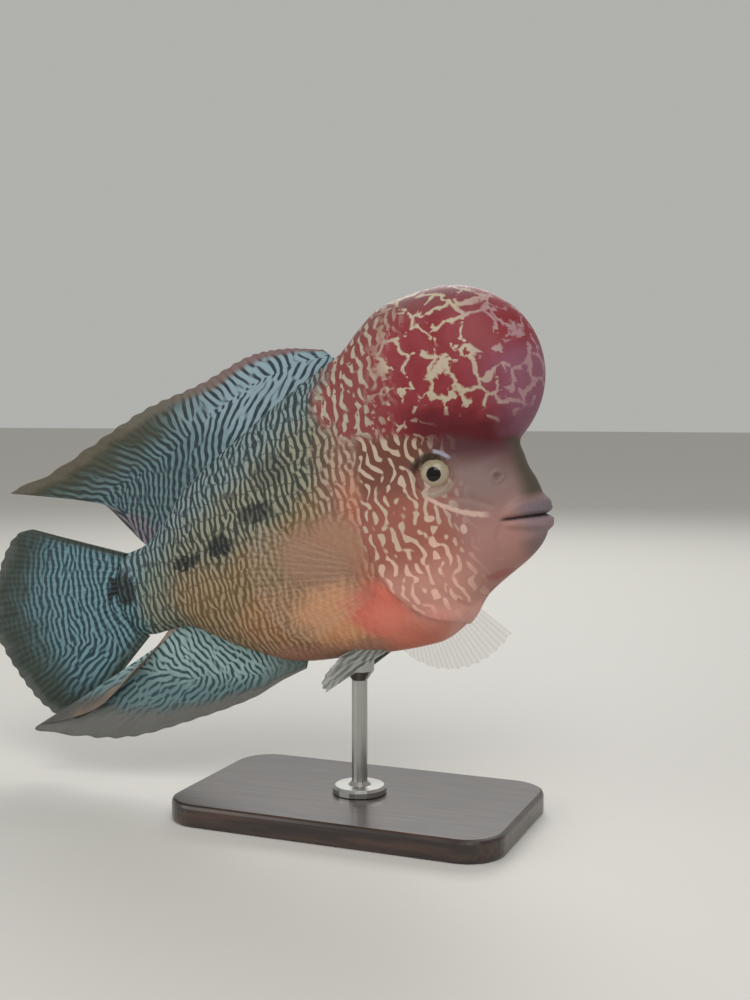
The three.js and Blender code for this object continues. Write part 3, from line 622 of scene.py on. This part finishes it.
# %% The eyes
def eye_ball(name, side, node):
    """An ellipsoid about the eye's centre: rings at angle a from its outer pole, spokes at angle b."""
    spokes = 96
    a = np.linspace(0, np.pi, 60)[1:-1, None]
    b = np.linspace(0, 2 * np.pi, spokes, endpoint=False)[None, :]
    x = EYE[0] + EYE_RADIUS * np.sin(a) * np.cos(b)
    h = EYE[2] + EYE_RADIUS * np.sin(a) * np.sin(b)
    y = side * (EYE[1] + EYE_DEPTH * np.cos(a)) + 0 * b
    poles = [[EYE[0], side * (EYE[1] + end * EYE_DEPTH), EYE[2]] for end in (1, -1)]
    places = np.concatenate([np.stack([x, y, h], -1).reshape(-1, 3), poles])
    one = np.arange(spokes)
    two = np.roll(one, -1)
    inner = one + (len(a) - 1) * spokes
    outer_fan = np.stack([two, one, np.full(spokes, len(places) - 2)], -1).tolist()
    inner_fan = np.stack([inner, np.roll(inner, -1), np.full(spokes, len(places) - 1)], -1).tolist()
    faces = quads(len(a), spokes, True).tolist() + outer_fan + inner_fan
    points = model_place(places)
    piece = make_piece(name, points, facing_out(points, faces), {"fish": places})
    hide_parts(node)
    return piece


right_eye = eye_ball("fish_eye_right", -1, "eye_right")
left_eye = eye_ball("fish_eye_left", 1, "eye_left")

# %% [markdown]
# ## Shader maths as expressions
# A material is a graph of nodes, and graphs are hard to read. The small class below wraps one socket, so
# that `1 - mask` or `a * b + c` in Python adds the Math nodes for it. Every other node comes from one method
# that takes the node's type, its settings and its inputs.


# %% Wires and finishes
class Wire:
    """One value, vector or colour that flows through a material."""

    def __init__(self, finish, socket):
        self.finish = finish
        self.socket = socket

    def maths(self, operation, *inputs):
        return self.finish.add("ShaderNodeMath", {"operation": operation}, inputs)

    def __add__(self, other):
        return self.maths("ADD", self, other)

    __radd__ = __add__

    def __sub__(self, other):
        return self.maths("SUBTRACT", self, other)

    def __rsub__(self, other):
        return self.maths("SUBTRACT", other, self)

    def __mul__(self, other):
        return self.maths("MULTIPLY", self, other)

    __rmul__ = __mul__

    def __truediv__(self, other):
        return self.maths("DIVIDE", self, other)

    def __pow__(self, other):
        return self.maths("POWER", self, other)

    def __abs__(self):
        return self.maths("ABSOLUTE", self)

    def most(self, other):
        return self.maths("MAXIMUM", self, other)

    def fold(self, size):
        """Rises from 0 to the size and falls back to 0, again and again."""
        return self.maths("PINGPONG", self, size)

    def ease(self, start, end):
        """0 at start, 1 at end, smooth between; start may be the larger."""
        ends = (start, end, 0, 1) if start < end else (end, start, 1, 0)
        return self.finish.add("ShaderNodeMapRange", {"interpolation_type": "SMOOTHSTEP"}, (self, *ends))


class Finish:
    """A material under construction."""

    def __init__(self, name):
        self.material = bpy.data.materials.new(name)
        self.material.use_nodes = True
        self.tree = self.material.node_tree
        self.tree.nodes.clear()

    def add(self, kind, settings, inputs, output=0):
        """A node of a kind with its settings, its inputs by number or name, and one of its outputs."""
        node = self.tree.nodes.new(kind)
        for key, value in settings.items():
            setattr(node, key, value)
        pairs = inputs.items() if isinstance(inputs, dict) else enumerate(inputs)
        for key, value in pairs:
            if isinstance(value, Wire):
                self.tree.links.new(value.socket, node.inputs[key])
            else:
                node.inputs[key].default_value = value
        return Wire(self, node.outputs[output]) if node.outputs else None

    def stored(self, name):
        return self.add("ShaderNodeAttribute", {"attribute_name": name}, (), 1)

    def parts(self, vector):
        return [self.add("ShaderNodeSeparateXYZ", {}, (vector,), k) for k in range(3)]

    def flat(self, across, up):
        """A vector from two numbers."""
        return self.add("ShaderNodeCombineXYZ", {}, (across, up))

    def length(self, vector):
        return self.add("ShaderNodeVectorMath", {"operation": "LENGTH"}, (vector,), 1)

    def mix(self, a, b, share):
        """Colour a where share is 0 and colour b where it is 1."""
        return self.add("ShaderNodeMix", {"data_type": "RGBA"}, {0: share, 6: a, 7: b}, 2)

    def noise(self, vector, scale, detail=2.0):
        return self.add("ShaderNodeTexNoise", {}, {"Vector": vector, "Scale": scale, "Detail": detail}) - 0.5

    def shifted(self, vector, scale, amount):
        """The vector, pushed about by noise: what makes straight lines wander."""
        push = self.add("ShaderNodeTexNoise", {}, {"Vector": vector, "Scale": scale, "Detail": 1.0}, 1)
        centred = self.add("ShaderNodeVectorMath", {"operation": "SUBTRACT"}, (push, (0.5, 0.5, 0.5)))
        scaled = self.add("ShaderNodeVectorMath", {"operation": "SCALE"}, {0: centred, 3: amount})
        return self.add("ShaderNodeVectorMath", {"operation": "ADD"}, (vector, scaled))

    def stripes(self, wrap, angle, pitch, order, grain=2.2, wave=3.0):
        """Broken stripes of a pitch in millimetres on the flat surface, which change along angle, 0 to 1."""
        inputs = {"Vector": self.shifted(wrap, 0.12, wave), "Scale": 1 / (pitch * grain), "Frequency": grain}
        inputs.update({"Anisotropy": order, 4: angle})
        return self.add("ShaderNodeTexGabor", {"gabor_type": "2D"}, inputs)

    def network(self, vector, size):
        """Distance in millimetres from the walls between random cells of a size."""
        inputs = {"Vector": vector, "Scale": 1 / size}
        return self.add("ShaderNodeTexVoronoi", {"feature": "DISTANCE_TO_EDGE"}, inputs) * size

    def spot(self, x, h, centre, radii, edge=0.35):
        """1 inside an ellipse seen from the side, 0 outside it."""
        across = (x - centre[0]) / radii[0]
        up = (h - centre[1]) / radii[1]
        return (across * across + up * up).ease(1 + edge, 1 - edge)

    def raised(self, height, strength, distance):
        """A normal bent by a height."""
        return self.add("ShaderNodeBump", {}, {"Strength": strength, "Distance": distance, "Height": height})

    def surface(self, tint, roughness, normal=None, **constants):
        """Ends the material with a Principled shader."""
        inputs = {"Base Color": tint, "Roughness": roughness}
        inputs.update({key.replace("_", " "): value for key, value in constants.items()})
        if normal:
            inputs["Normal"] = normal
        shader = self.add("ShaderNodeBsdfPrincipled", {}, inputs)
        self.add("ShaderNodeOutputMaterial", {}, {"Surface": shader})
        return self.material


def colour(red, green, blue):
    """A display colour of 0 to 255 as linear light."""
    values = np.array([red, green, blue]) / 255
    linear = np.where(values <= 0.04045, values / 12.92, ((values + 0.055) / 1.055) ** 2.4)
    return (*linear.tolist(), 1.0)


# %% [markdown]
# ## The skin's colours
# Real flowerhorn markings are of two kinds: fields of colour that fade into each other, and pale lines over
# a dark ground. So each part of the material first works out where its fields lie, from the place in the
# fish's own frame, and then draws its lines. Three noises that all parts share make the borders wander.


# %% What every marking reads
class Skin(Finish):
    """The skin's finish, with the wires that its markings share."""

    def __init__(self, name):
        super().__init__(name)
        self.fish, self.wrap = self.stored("fish"), self.stored("wrap")
        self.x, self.y, self.h = self.parts(self.fish)
        self.past_gill, self.over_hump, self.over_flank = self.parts(self.stored("zones"))
        self.laid_x, self.laid_h, self.angle = self.parts(self.wrap)
        self.wander = self.noise(self.fish, 0.07)
        self.patch = self.noise(self.fish, 0.17)
        self.fine = self.noise(self.fish, 0.45)

    def field(self, centre, radii, edge):
        """A large soft patch with a wandering border."""
        return self.spot(self.x + self.wander * 14, self.h + self.patch * 10, centre, radii, edge)

    def blotch(self, centre, radii):
        """A small patch with a ragged border."""
        return self.spot(self.x + self.fine * 7, self.h + self.fine * 6, centre, radii)


# %% [markdown]
# ### The flank
# The ground runs from olive black on the back to gold and coral on the breast. A list keeps the fields in
# the order in which they are laid over each other, each with its share and its dark and pale tone. The
# pale lines are Gabor noise, which forks and breaks as real stripes do. Rows about as high as a scale cut
# them into strokes. Last come the black blotches along the middle of the side.


# %% The flank
def flank_colour(f):
    x, h, wander = f.x, f.h, f.wander
    grey, coral = f.field((115, 8), (19, 13), 0.7), f.field((131, -18), (14, 11), 0.6)
    peach = f.field((112, -16), (17, 12), 0.8)
    belly = (h + wander * 8 + 0.05 * x).ease(-18, -25) * x.ease(50, 80)
    fields = [
        ((f.over_flank + wander * 16).ease(-7, 8), (44, 50, 40), (136, 134, 116)),
        ((x + wander * 14).ease(44, 22) * 0.8, (48, 60, 54), (126, 138, 126)),
        ((x + wander * 20).ease(20, 6), (24, 46, 52), (98, 132, 136)),
        ((h - 0.42 * x - 12 + wander * 14).ease(-8, 10) * 0.8, (40, 52, 58), (120, 142, 146)),
        ((x - 0.35 * h + wander * 20).ease(98, 116), (112, 78, 62), (168, 144, 126)),
        (f.field((96, -14), (32, 14), 0.8) * 0.75, (136, 94, 60), (176, 140, 108)),
        ((f.past_gill + wander * 8).ease(-14, -4) * h.ease(42, 26), (148, 90, 70), (178, 132, 110)),
        (grey, (150, 112, 90), (166, 132, 110)),
        (belly, (158, 114, 92), (176, 140, 120)),
        (peach, (202, 142, 102), (216, 166, 126)),
        (coral, (204, 108, 90), (216, 132, 112)),
    ]
    ground, pale = colour(98, 76, 48), colour(152, 132, 104)
    for share, dark_tone, pale_tone in fields:
        ground = f.mix(ground, colour(*dark_tone), share)
        pale = f.mix(pale, colour(*pale_tone), share)
    bare = (grey * 0.85).most(coral * 0.8).most(belly * 0.6).most(peach * 0.5)
    rows = f.laid_h / 6.5 + x * 0.012 + f.patch * 1.6 + f.fine * 0.5
    strokes = 0.35 + 0.65 * rows.fold(0.5).ease(0.02, 0.13)
    line = f.stripes(f.wrap, f.angle, 3.2, 0.85, 1.7).ease(0.45, 0.57) * (1 - bare) * strokes
    blotches = f.blotch((65.5, 22.5), (7, 4.5)).most(f.blotch((45, 20), (8, 3)))
    blotches = blotches.most(f.blotch((87, 32), (9, 4)) * 0.85).most(f.blotch((98, 46), (9, 6)) * 0.45)
    blotches = blotches.most(f.blotch((4, 16), (6, 7.5)))
    return f.mix(f.mix(ground, pale, line), colour(8, 18, 18), blotches * (1 - line * 0.2))


# %% [markdown]
# ### The cheek and the face
# The gill cover carries worm tracks: the same noise, but with less order and thinner lines, cream above and
# peach below. In front of the eye the skin is bare, grey mauve above and salmon below, with dark lips and a
# dark bridge of the nose.


# %% The cheek and the face
def cheek_colour(f):
    low = f.h + f.wander * 16
    ground = f.mix(colour(104, 62, 50), colour(146, 86, 74), low.ease(34, 14))
    ground = f.mix(ground, colour(182, 130, 118), low.ease(4, -14))
    pale = f.mix(colour(180, 160, 140), colour(216, 172, 154), low.ease(12, -10))
    return f.mix(ground, pale, f.stripes(f.wrap, 0.1, 4.0, 0.6, 1.6, 6.0).ease(0.53, 0.60))


def face_colour(f):
    x, h = f.x, f.h
    tint = f.mix(colour(122, 98, 94), colour(162, 118, 110), (h + f.wander * 14).ease(20, -4))
    # Painted shade: the skin just under the front of the hump is darkened where the hump overhangs it.
    tint = f.mix(tint, colour(82, 44, 50), f.over_hump.ease(-14, -2) * 0.92)
    tint = f.mix(tint, colour(76, 68, 58), (x - abs(f.y) * 0.5).ease(184, 193) * h.ease(6, 12))
    lips = f.mix(colour(110, 98, 104), colour(134, 112, 116), h.ease(3, -1))
    tint = f.mix(tint, lips, (x + f.fine * 4).ease(185, 195) * h.ease(11, 5))
    # Painted shade: darker skin under the lower lip.
    return f.mix(tint, colour(100, 82, 80), x.ease(184, 191) * h.ease(-4, -8) * 0.5)


# %% [markdown]
# ### The hump
# The hump is rose red with a broken cream network. The walls between random cells give the network, and two
# pushes by noise, one broad and one fine, bend its straight walls. Behind the hump it turns into streaks.


# %% The hump
def hump_colour(f):
    x, h, wander, patch = f.x, f.h, f.wander, f.patch
    nape = (x + wander * 20 - 0.3 * h).ease(142, 124)
    front = (x + wander * 20).ease(186, 204)
    red = f.mix(colour(120, 32, 36), colour(136, 54, 62), patch * 1.4 + 0.5)
    # Painted shade: the lower front of the hump is darkened where it turns under.
    red = f.mix(red, colour(90, 22, 32), (f.over_hump + patch * 10).ease(16, 5) * x.ease(150, 166))
    # Painted highlight: a mauve front and a greyer top on the hump.
    red = f.mix(red, colour(132, 86, 106), front * h.ease(72, 58) * 0.8)
    red = f.mix(red, colour(112, 82, 84), (h + wander * 12).ease(79, 97) * 0.7)
    red = f.mix(red, colour(116, 62, 54), nape * 0.5)
    walls = f.network(f.shifted(f.shifted(f.fish, 0.1, 9.0), 0.4, 2.6), 9.8) - 1.7 * f.noise(f.fish, 0.19)
    network = walls.ease(1.15, 0.35) * (wander * 5 + f.noise(f.fish, 0.28) * 5 + 0.42).ease(0, 0.3)
    network = network * (f.over_hump + patch * 12).ease(7, 13).most(x.ease(172, 152))
    streaks = f.stripes(f.wrap, 0.1, 4.2, 0.7, 1.5, 5.0).ease(0.50, 0.58)
    streaks = streaks * (f.noise(f.fish, 0.3) + 0.14).ease(0, 0.06)
    pale = f.mix(colour(176, 162, 140), colour(158, 122, 126), front)
    pale = f.mix(pale, colour(164, 154, 136), nape)
    return f.mix(red, pale, (network * (1 - nape)).most(streaks * nape))


# %% [markdown]
# ### Small marks and the whole skin
# A few marks are placed one by one: painted shade over the eye and the pale skin under it, a painted glint in
# front of it, the pale line across the cheek, painted shade in the slit of the mouth and a red edge on the
# jaw.
# The bump adds the rims of the scales, which lie in a lattice turned by 45 degrees.


# %% Small marks
def marked(f, tint):
    x, h, fine = f.x, f.h, f.fine
    jaw_edge = f.spot(x + fine * 3, h + fine * 3, (176, -16.5), (5.5, 1.6), 0.8)
    tint = f.mix(tint, colour(150, 72, 68), jaw_edge * 0.5)
    from_eye = f.length(f.flat(x - EYE[0], h - EYE[2]))
    # Painted shade: a dark band on the skin over the eye.
    painted_eye_shade = from_eye.ease(9.2, 7.8) * (h + fine * 3).ease(28.5, 32) * x.ease(171, 166)
    tint = f.mix(tint, colour(52, 42, 32), painted_eye_shade * 0.85)
    below = from_eye.ease(9.8, 8.2) * h.ease(24, 20) * x.ease(156, 160)
    tint = f.mix(tint, colour(150, 136, 122), below * 0.8)
    glint = abs(from_eye - 9.0).ease(1.1, 0.3) * x.ease(164.5, 166) * h.ease(30.5, 32.5)
    tint = f.mix(tint, colour(150, 150, 162), glint)
    under = h - 6.3 - 0.0185 * (185 - x) * (185 - x) + fine * 1.5
    line = abs(under).ease(1.5, 0.6) * x.ease(157, 160) * x.ease(181, 176)
    line = line.most(f.spot(x, h, (158.3, 10.9), (1.7, 1.2))).most(f.spot(x, h, (169, 4), (1.2, 1.8)))
    tint = f.mix(tint, colour(198, 168, 154), line * 0.85)
    # Painted shade: a dark line in the slit between the lips.
    along = (MOUTH_TIP[0] - x) / (MOUTH_TIP[0] - MOUTH_CORNER[0])
    off = h - MOUTH_TIP[1] - (MOUTH_CORNER[1] - MOUTH_TIP[1]) * along
    return f.mix(tint, colour(44, 28, 30), abs(off).ease(0.9, 0.3) * along.ease(1.15, 0.95) * 0.8)


def skin_finish():
    f = Skin("living_skin")
    x, h, wander = f.x, f.h, f.wander
    tint = f.mix(flank_colour(f), cheek_colour(f), (f.past_gill + wander * 6).ease(-2.5, 2.5))
    tint = f.mix(tint, face_colour(f), (x + wander * 14 + h * 0.05).ease(158, 176))
    # The throat and chin carry their own colour, lightened as painted light in place of light from below.
    throat = f.mix(colour(216, 126, 106), colour(212, 152, 142), (x + wander * 30).ease(138, 156))
    under = (h + wander * 10 + 0.2 * (x - 150)).ease(-18, -26) * x.ease(118, 134)
    tint = f.mix(tint, throat, under * 0.85)
    hump = (f.over_hump + wander * 10).ease(-2.5, 2.5) * (x + wander * 24).ease(122, 132)
    tint = marked(f, f.mix(tint, hump_colour(f), hump))
    u, v = f.laid_x / 5.6, f.laid_h / 4.8
    lattice = {0: f.flat(u + v, u - v), "Scale": 1.0, "Randomness": 0.12}
    grooves = f.add("ShaderNodeTexVoronoi", {"feature": "DISTANCE_TO_EDGE"}, lattice)
    scales = grooves.ease(0.0, 0.3) * (x - h * 0.1).ease(140, 122)
    normal = f.raised(scales * 0.3 + f.fine * 0.3 + wander * 0.5, 0.6, 0.0005)
    gloss = {"Specular_IOR_Level": 0.22, "Coat_Weight": 0.05, "Coat_Roughness": 0.25}
    return f.surface(tint, 0.5 + 0.15 * f.patch, normal, **gloss)


skin.data.materials.append(skin_finish())

# %% [markdown]
# ## The fins' colours
# The fins carry the same lines over a teal ground, along the rays or across them. They darken and thin out
# to olive towards the edge, where light comes through, so alpha falls there.

# %% Fin materials
OLIVE = colour(56, 58, 42)
RUST = colour(112, 70, 66)
DARK_TEAL = colour(28, 46, 54)


def striped_fin(name, pitch, order, grain):
    """A finish with the fin's stripes from 0 to 1 and the values that its colours are drawn from."""
    f = Finish(name)
    wrap = f.stored("wrap")
    s, t, ridge = f.parts(f.stored("grain"))
    stripes = f.stripes(wrap, f.parts(wrap)[2], pitch, order, grain)
    return f, stripes, s, t, ridge, f.noise(wrap, 0.08)


def fin_skin(f, tint, ridge, alpha):
    """Ends a fin's finish: rays a little lighter and raised, a wet gloss and a thin edge."""
    tint = f.mix(tint, colour(140, 148, 146), ridge * 0.06)
    gloss = {"Specular_IOR_Level": 0.22, "Coat_Weight": 0.04, "Coat_Roughness": 0.25}
    return f.surface(tint, 0.5, f.raised(ridge, 0.2, 0.0003), Alpha=alpha, **gloss)


def dorsal_finish():
    f, stripes, s, t, ridge, wander = striped_fin("dorsal_fin_skin", 2.9, 0.93, 2.6)
    rear = (s + wander * 0.3).ease(0.4, 0.7)
    light = f.mix(colour(128, 150, 158), colour(92, 116, 120), rear)
    light = f.mix(light, colour(122, 108, 114), (s + wander * 0.1).ease(0.86, 0.95))
    tint = f.mix(DARK_TEAL, light, (stripes + 0.035 - 0.055 * rear).ease(0.44, 0.55))
    tip = (t + wander * 0.5).ease(0.45, 0.82) * s.ease(0.42, 0.66) * s.ease(0.97, 0.88)
    tint = f.mix(tint, OLIVE, tip * 0.88)
    fringe = (t + wander * 0.16).ease(0.8, 0.93)
    tint = f.mix(tint, f.mix(RUST, colour(88, 78, 58), s.ease(0.3, 0.6)), fringe * 0.9)
    return fin_skin(f, tint, ridge, 1 - 0.35 * fringe)


def anal_finish():
    f, stripes, s, t, ridge, wander = striped_fin("anal_fin_skin", 2.8, 0.75, 2.0)
    light = f.mix(colour(140, 166, 164), colour(92, 118, 120), (t + wander * 0.3).ease(0.2, 0.65))
    tint = f.mix(colour(40, 68, 74), light, (stripes + 0.03).ease(0.44, 0.55))
    tint = f.mix(tint, colour(92, 104, 100), s.ease(0.3, 0.1) * 0.8)
    low = (t + wander * 0.2).ease(0.62, 0.84)
    tint = f.mix(tint, colour(84, 80, 74), low * 0.9)
    band = (s + wander * 0.06).ease(0.88, 0.93)
    tint = f.mix(tint, colour(142, 120, 104), band * 0.9)
    return fin_skin(f, tint, ridge, 1 - 0.3 * low.most(band))


def caudal_finish():
    f, stripes, s, t, ridge, wander = striped_fin("caudal_fin_skin", 3.1, 0.88, 2.0)
    x, y, h = f.parts(f.stored("fish"))
    light = f.mix(colour(98, 132, 140), colour(76, 102, 106), (t + wander * 0.3).ease(0.4, 0.8))
    tint = f.mix(colour(26, 54, 62), light, stripes.ease(0.45, 0.56))
    margin = (t + wander * 0.4).ease(0.56, 0.9)
    margin = margin.most((s + wander * 0.1).ease(0.86, 0.98) * 0.9).most(s.ease(0.07, 0.02))
    tint = f.mix(tint, colour(38, 46, 36), margin * 0.92)
    tint = f.mix(tint, colour(8, 18, 20), f.spot(x + wander * 30, h + wander * 30, (0, 17), (7, 7.5)))
    return fin_skin(f, tint, ridge, 1 - 0.3 * (t + wander * 0.2).ease(0.86, 1.0))


def pelvic_finish():
    f, stripes, s, t, ridge, wander = striped_fin("pelvic_fin_skin", 2.4, 0.9, 2.2)
    tint = f.mix(colour(100, 100, 94), colour(144, 148, 142), stripes.ease(0.42, 0.54))
    return fin_skin(f, tint, ridge, 0.95 - 0.4 * (t + wander * 0.2).ease(0.5, 1.0))


def pectoral_finish():
    f = Finish("pectoral_fin_skin")
    s, t, ridge = f.parts(f.stored("grain"))
    root = t.ease(0.3, 0.0)
    tint = f.mix(f.mix(colour(168, 142, 122), colour(190, 168, 148), ridge), colour(186, 112, 92), root)
    return fin_skin(f, tint, ridge, 0.06 + 0.1 * ridge + 0.1 * root)


dorsal_fin.data.materials.append(dorsal_finish())
anal_fin.data.materials.append(anal_finish())
caudal_fin.data.materials.append(caudal_finish())
finishes = {"pelvic": pelvic_finish(), "pectoral": pectoral_finish()}
for (kind, hand), fin in paired.items():
    fin.data.materials.append(finishes[kind])


# %% Eye material
PUPIL_AHEAD = 1.1


def eye_finish():
    f = Finish("eye_gloss")
    fish = f.stored("fish")
    x, y, h = f.parts(fish)
    radius = f.length(f.flat(x - EYE[0] - PUPIL_AHEAD, h - EYE[2])) + f.noise(fish, 0.5) * 0.5
    iris = f.mix(colour(158, 144, 124), colour(138, 128, 100), f.noise(fish, 1.1) + h.ease(26, 32) * 0.7)
    iris = f.mix(iris, colour(112, 98, 84), radius.ease(5.4, 6.4))
    tint = f.mix(colour(14, 8, 8), iris, radius.ease(2.6, 2.95))
    # Painted shade: a dark ring round the edge of the ball, where it sits in its socket.
    tint = f.mix(tint, colour(38, 30, 28), radius.ease(6.6, 7.2))
    return f.surface(tint, 0.12, None, Specular_IOR_Level=0.25, Coat_Weight=0.15, Coat_Roughness=0.03)


eye_gloss = eye_finish()
for eye in (right_eye, left_eye):
    eye.data.materials.append(eye_gloss)


# %% Stand materials
def wood_finish():
    f = Finish("dark_lacquered_wood")
    place = f.add("ShaderNodeTexCoord", {}, (), 3)
    stretched = f.add("ShaderNodeMapping", {}, {"Vector": place, "Scale": (40.0, 420.0, 420.0)})
    grain = f.add("ShaderNodeTexNoise", {}, {"Vector": stretched, "Scale": 1.0, "Detail": 5.0})
    tint = f.mix(colour(34, 24, 20), colour(66, 46, 36), grain.ease(0.35, 0.7))
    return f.surface(tint, 0.3, f.raised(grain, 0.15, 0.0003), Coat_Weight=0.4, Coat_Roughness=0.12)


def metal_finish():
    f = Finish("turned_steel")
    place = f.add("ShaderNodeTexCoord", {}, (), 3)
    stretched = f.add("ShaderNodeMapping", {}, {"Vector": place, "Scale": (60.0, 60.0, 2600.0)})
    rings_noise = f.add("ShaderNodeTexNoise", {}, {"Vector": stretched, "Scale": 1.0, "Detail": 3.0})
    normal = f.raised(rings_noise, 0.1, 0.0001)
    return f.surface(colour(176, 176, 172), 0.24 + 0.12 * rings_noise, normal, Metallic=1.0)


for node, finish in (("stand_base", wood_finish()), ("stand_rod", metal_finish())):
    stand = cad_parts[node]
    stand.data.materials.clear()
    stand.data.materials.append(finish)

# %% [markdown]
# ## Floor, light and camera
# A plain pale floor and three large soft lights show the form without hard shadows. The camera stands where
# the photographer did: its direction, its distance and the place of the snout in the picture are known.

# %% Stage
PICTURE = (750, 1000)
FOCAL_PIXELS = 1300
SNOUT_PIXEL = (553, 516)
SNOUT_DISTANCE = 499.65
AZIMUTH, ELEVATION = np.radians(22), np.radians(4)

floor_mesh = bpy.data.meshes.new("floor")
floor_mesh.from_pydata([(-9, -9, 0), (9, -9, 0), (9, 9, 0), (-9, 9, 0)], [], [(0, 1, 2, 3)])
floor = bpy.data.objects.new("floor", floor_mesh)
bpy.context.collection.objects.link(floor)
floor.data.materials.append(Finish("pale_floor").surface(colour(204, 202, 196), 0.6))


def soft_light(name, place, power, size, target=(0, 0, 0.12)):
    """A square lamp at a place, turned towards a target."""
    light = bpy.data.lights.new(name, "AREA")
    light.energy = power
    light.size = size
    lamp = bpy.data.objects.new(name, light)
    bpy.context.collection.objects.link(lamp)
    lamp.location = place
    aim = np.array(target) - np.array(place)
    flat_run = np.hypot(aim[0], aim[1])
    lamp.rotation_euler = (np.arctan2(flat_run, -aim[2]), 0, np.arctan2(aim[1], aim[0]) - np.pi / 2)


soft_light("key", (0.5, -0.9, 1.1), 11, 0.9)
soft_light("fill", (-0.9, -0.8, 0.5), 5, 1.0)
soft_light("rim", (-0.3, 1.0, 0.9), 7, 0.8)
world = bpy.data.worlds.new("studio")
world.use_nodes = True
world.node_tree.nodes["Background"].inputs["Color"].default_value = colour(222, 222, 218)
world.node_tree.nodes["Background"].inputs["Strength"].default_value = 0.6
bpy.context.scene.world = world

over_floor = np.cos(ELEVATION)
back = np.array([np.sin(AZIMUTH) * over_floor, -np.cos(AZIMUTH) * over_floor, np.sin(ELEVATION)])
right = np.array([np.cos(AZIMUTH), np.sin(AZIMUTH), 0])
up = np.cross(back, right)
snout = model_place([STANDARD_LENGTH, 0, 0])
shift_right = (SNOUT_PIXEL[0] - PICTURE[0] / 2) * SNOUT_DISTANCE / FOCAL_PIXELS
shift_up = (PICTURE[1] / 2 - SNOUT_PIXEL[1]) * SNOUT_DISTANCE / FOCAL_PIXELS
eye_point = snout + (back * SNOUT_DISTANCE - right * shift_right - up * shift_up) * MM
camera_data = bpy.data.cameras.new("camera")
camera_data.lens = 36 * FOCAL_PIXELS / PICTURE[1]
camera_data.clip_start = 0.01
camera = bpy.data.objects.new("camera", camera_data)
bpy.context.collection.objects.link(camera)
axes = np.stack([right, up, back, eye_point], axis=1)
camera.matrix_world = Matrix([*axes.tolist(), [0, 0, 0, 1]])
bpy.context.scene.camera = camera
bpy.context.scene.view_settings.view_transform = "Standard"
print("camera at", eye_point.round(4))
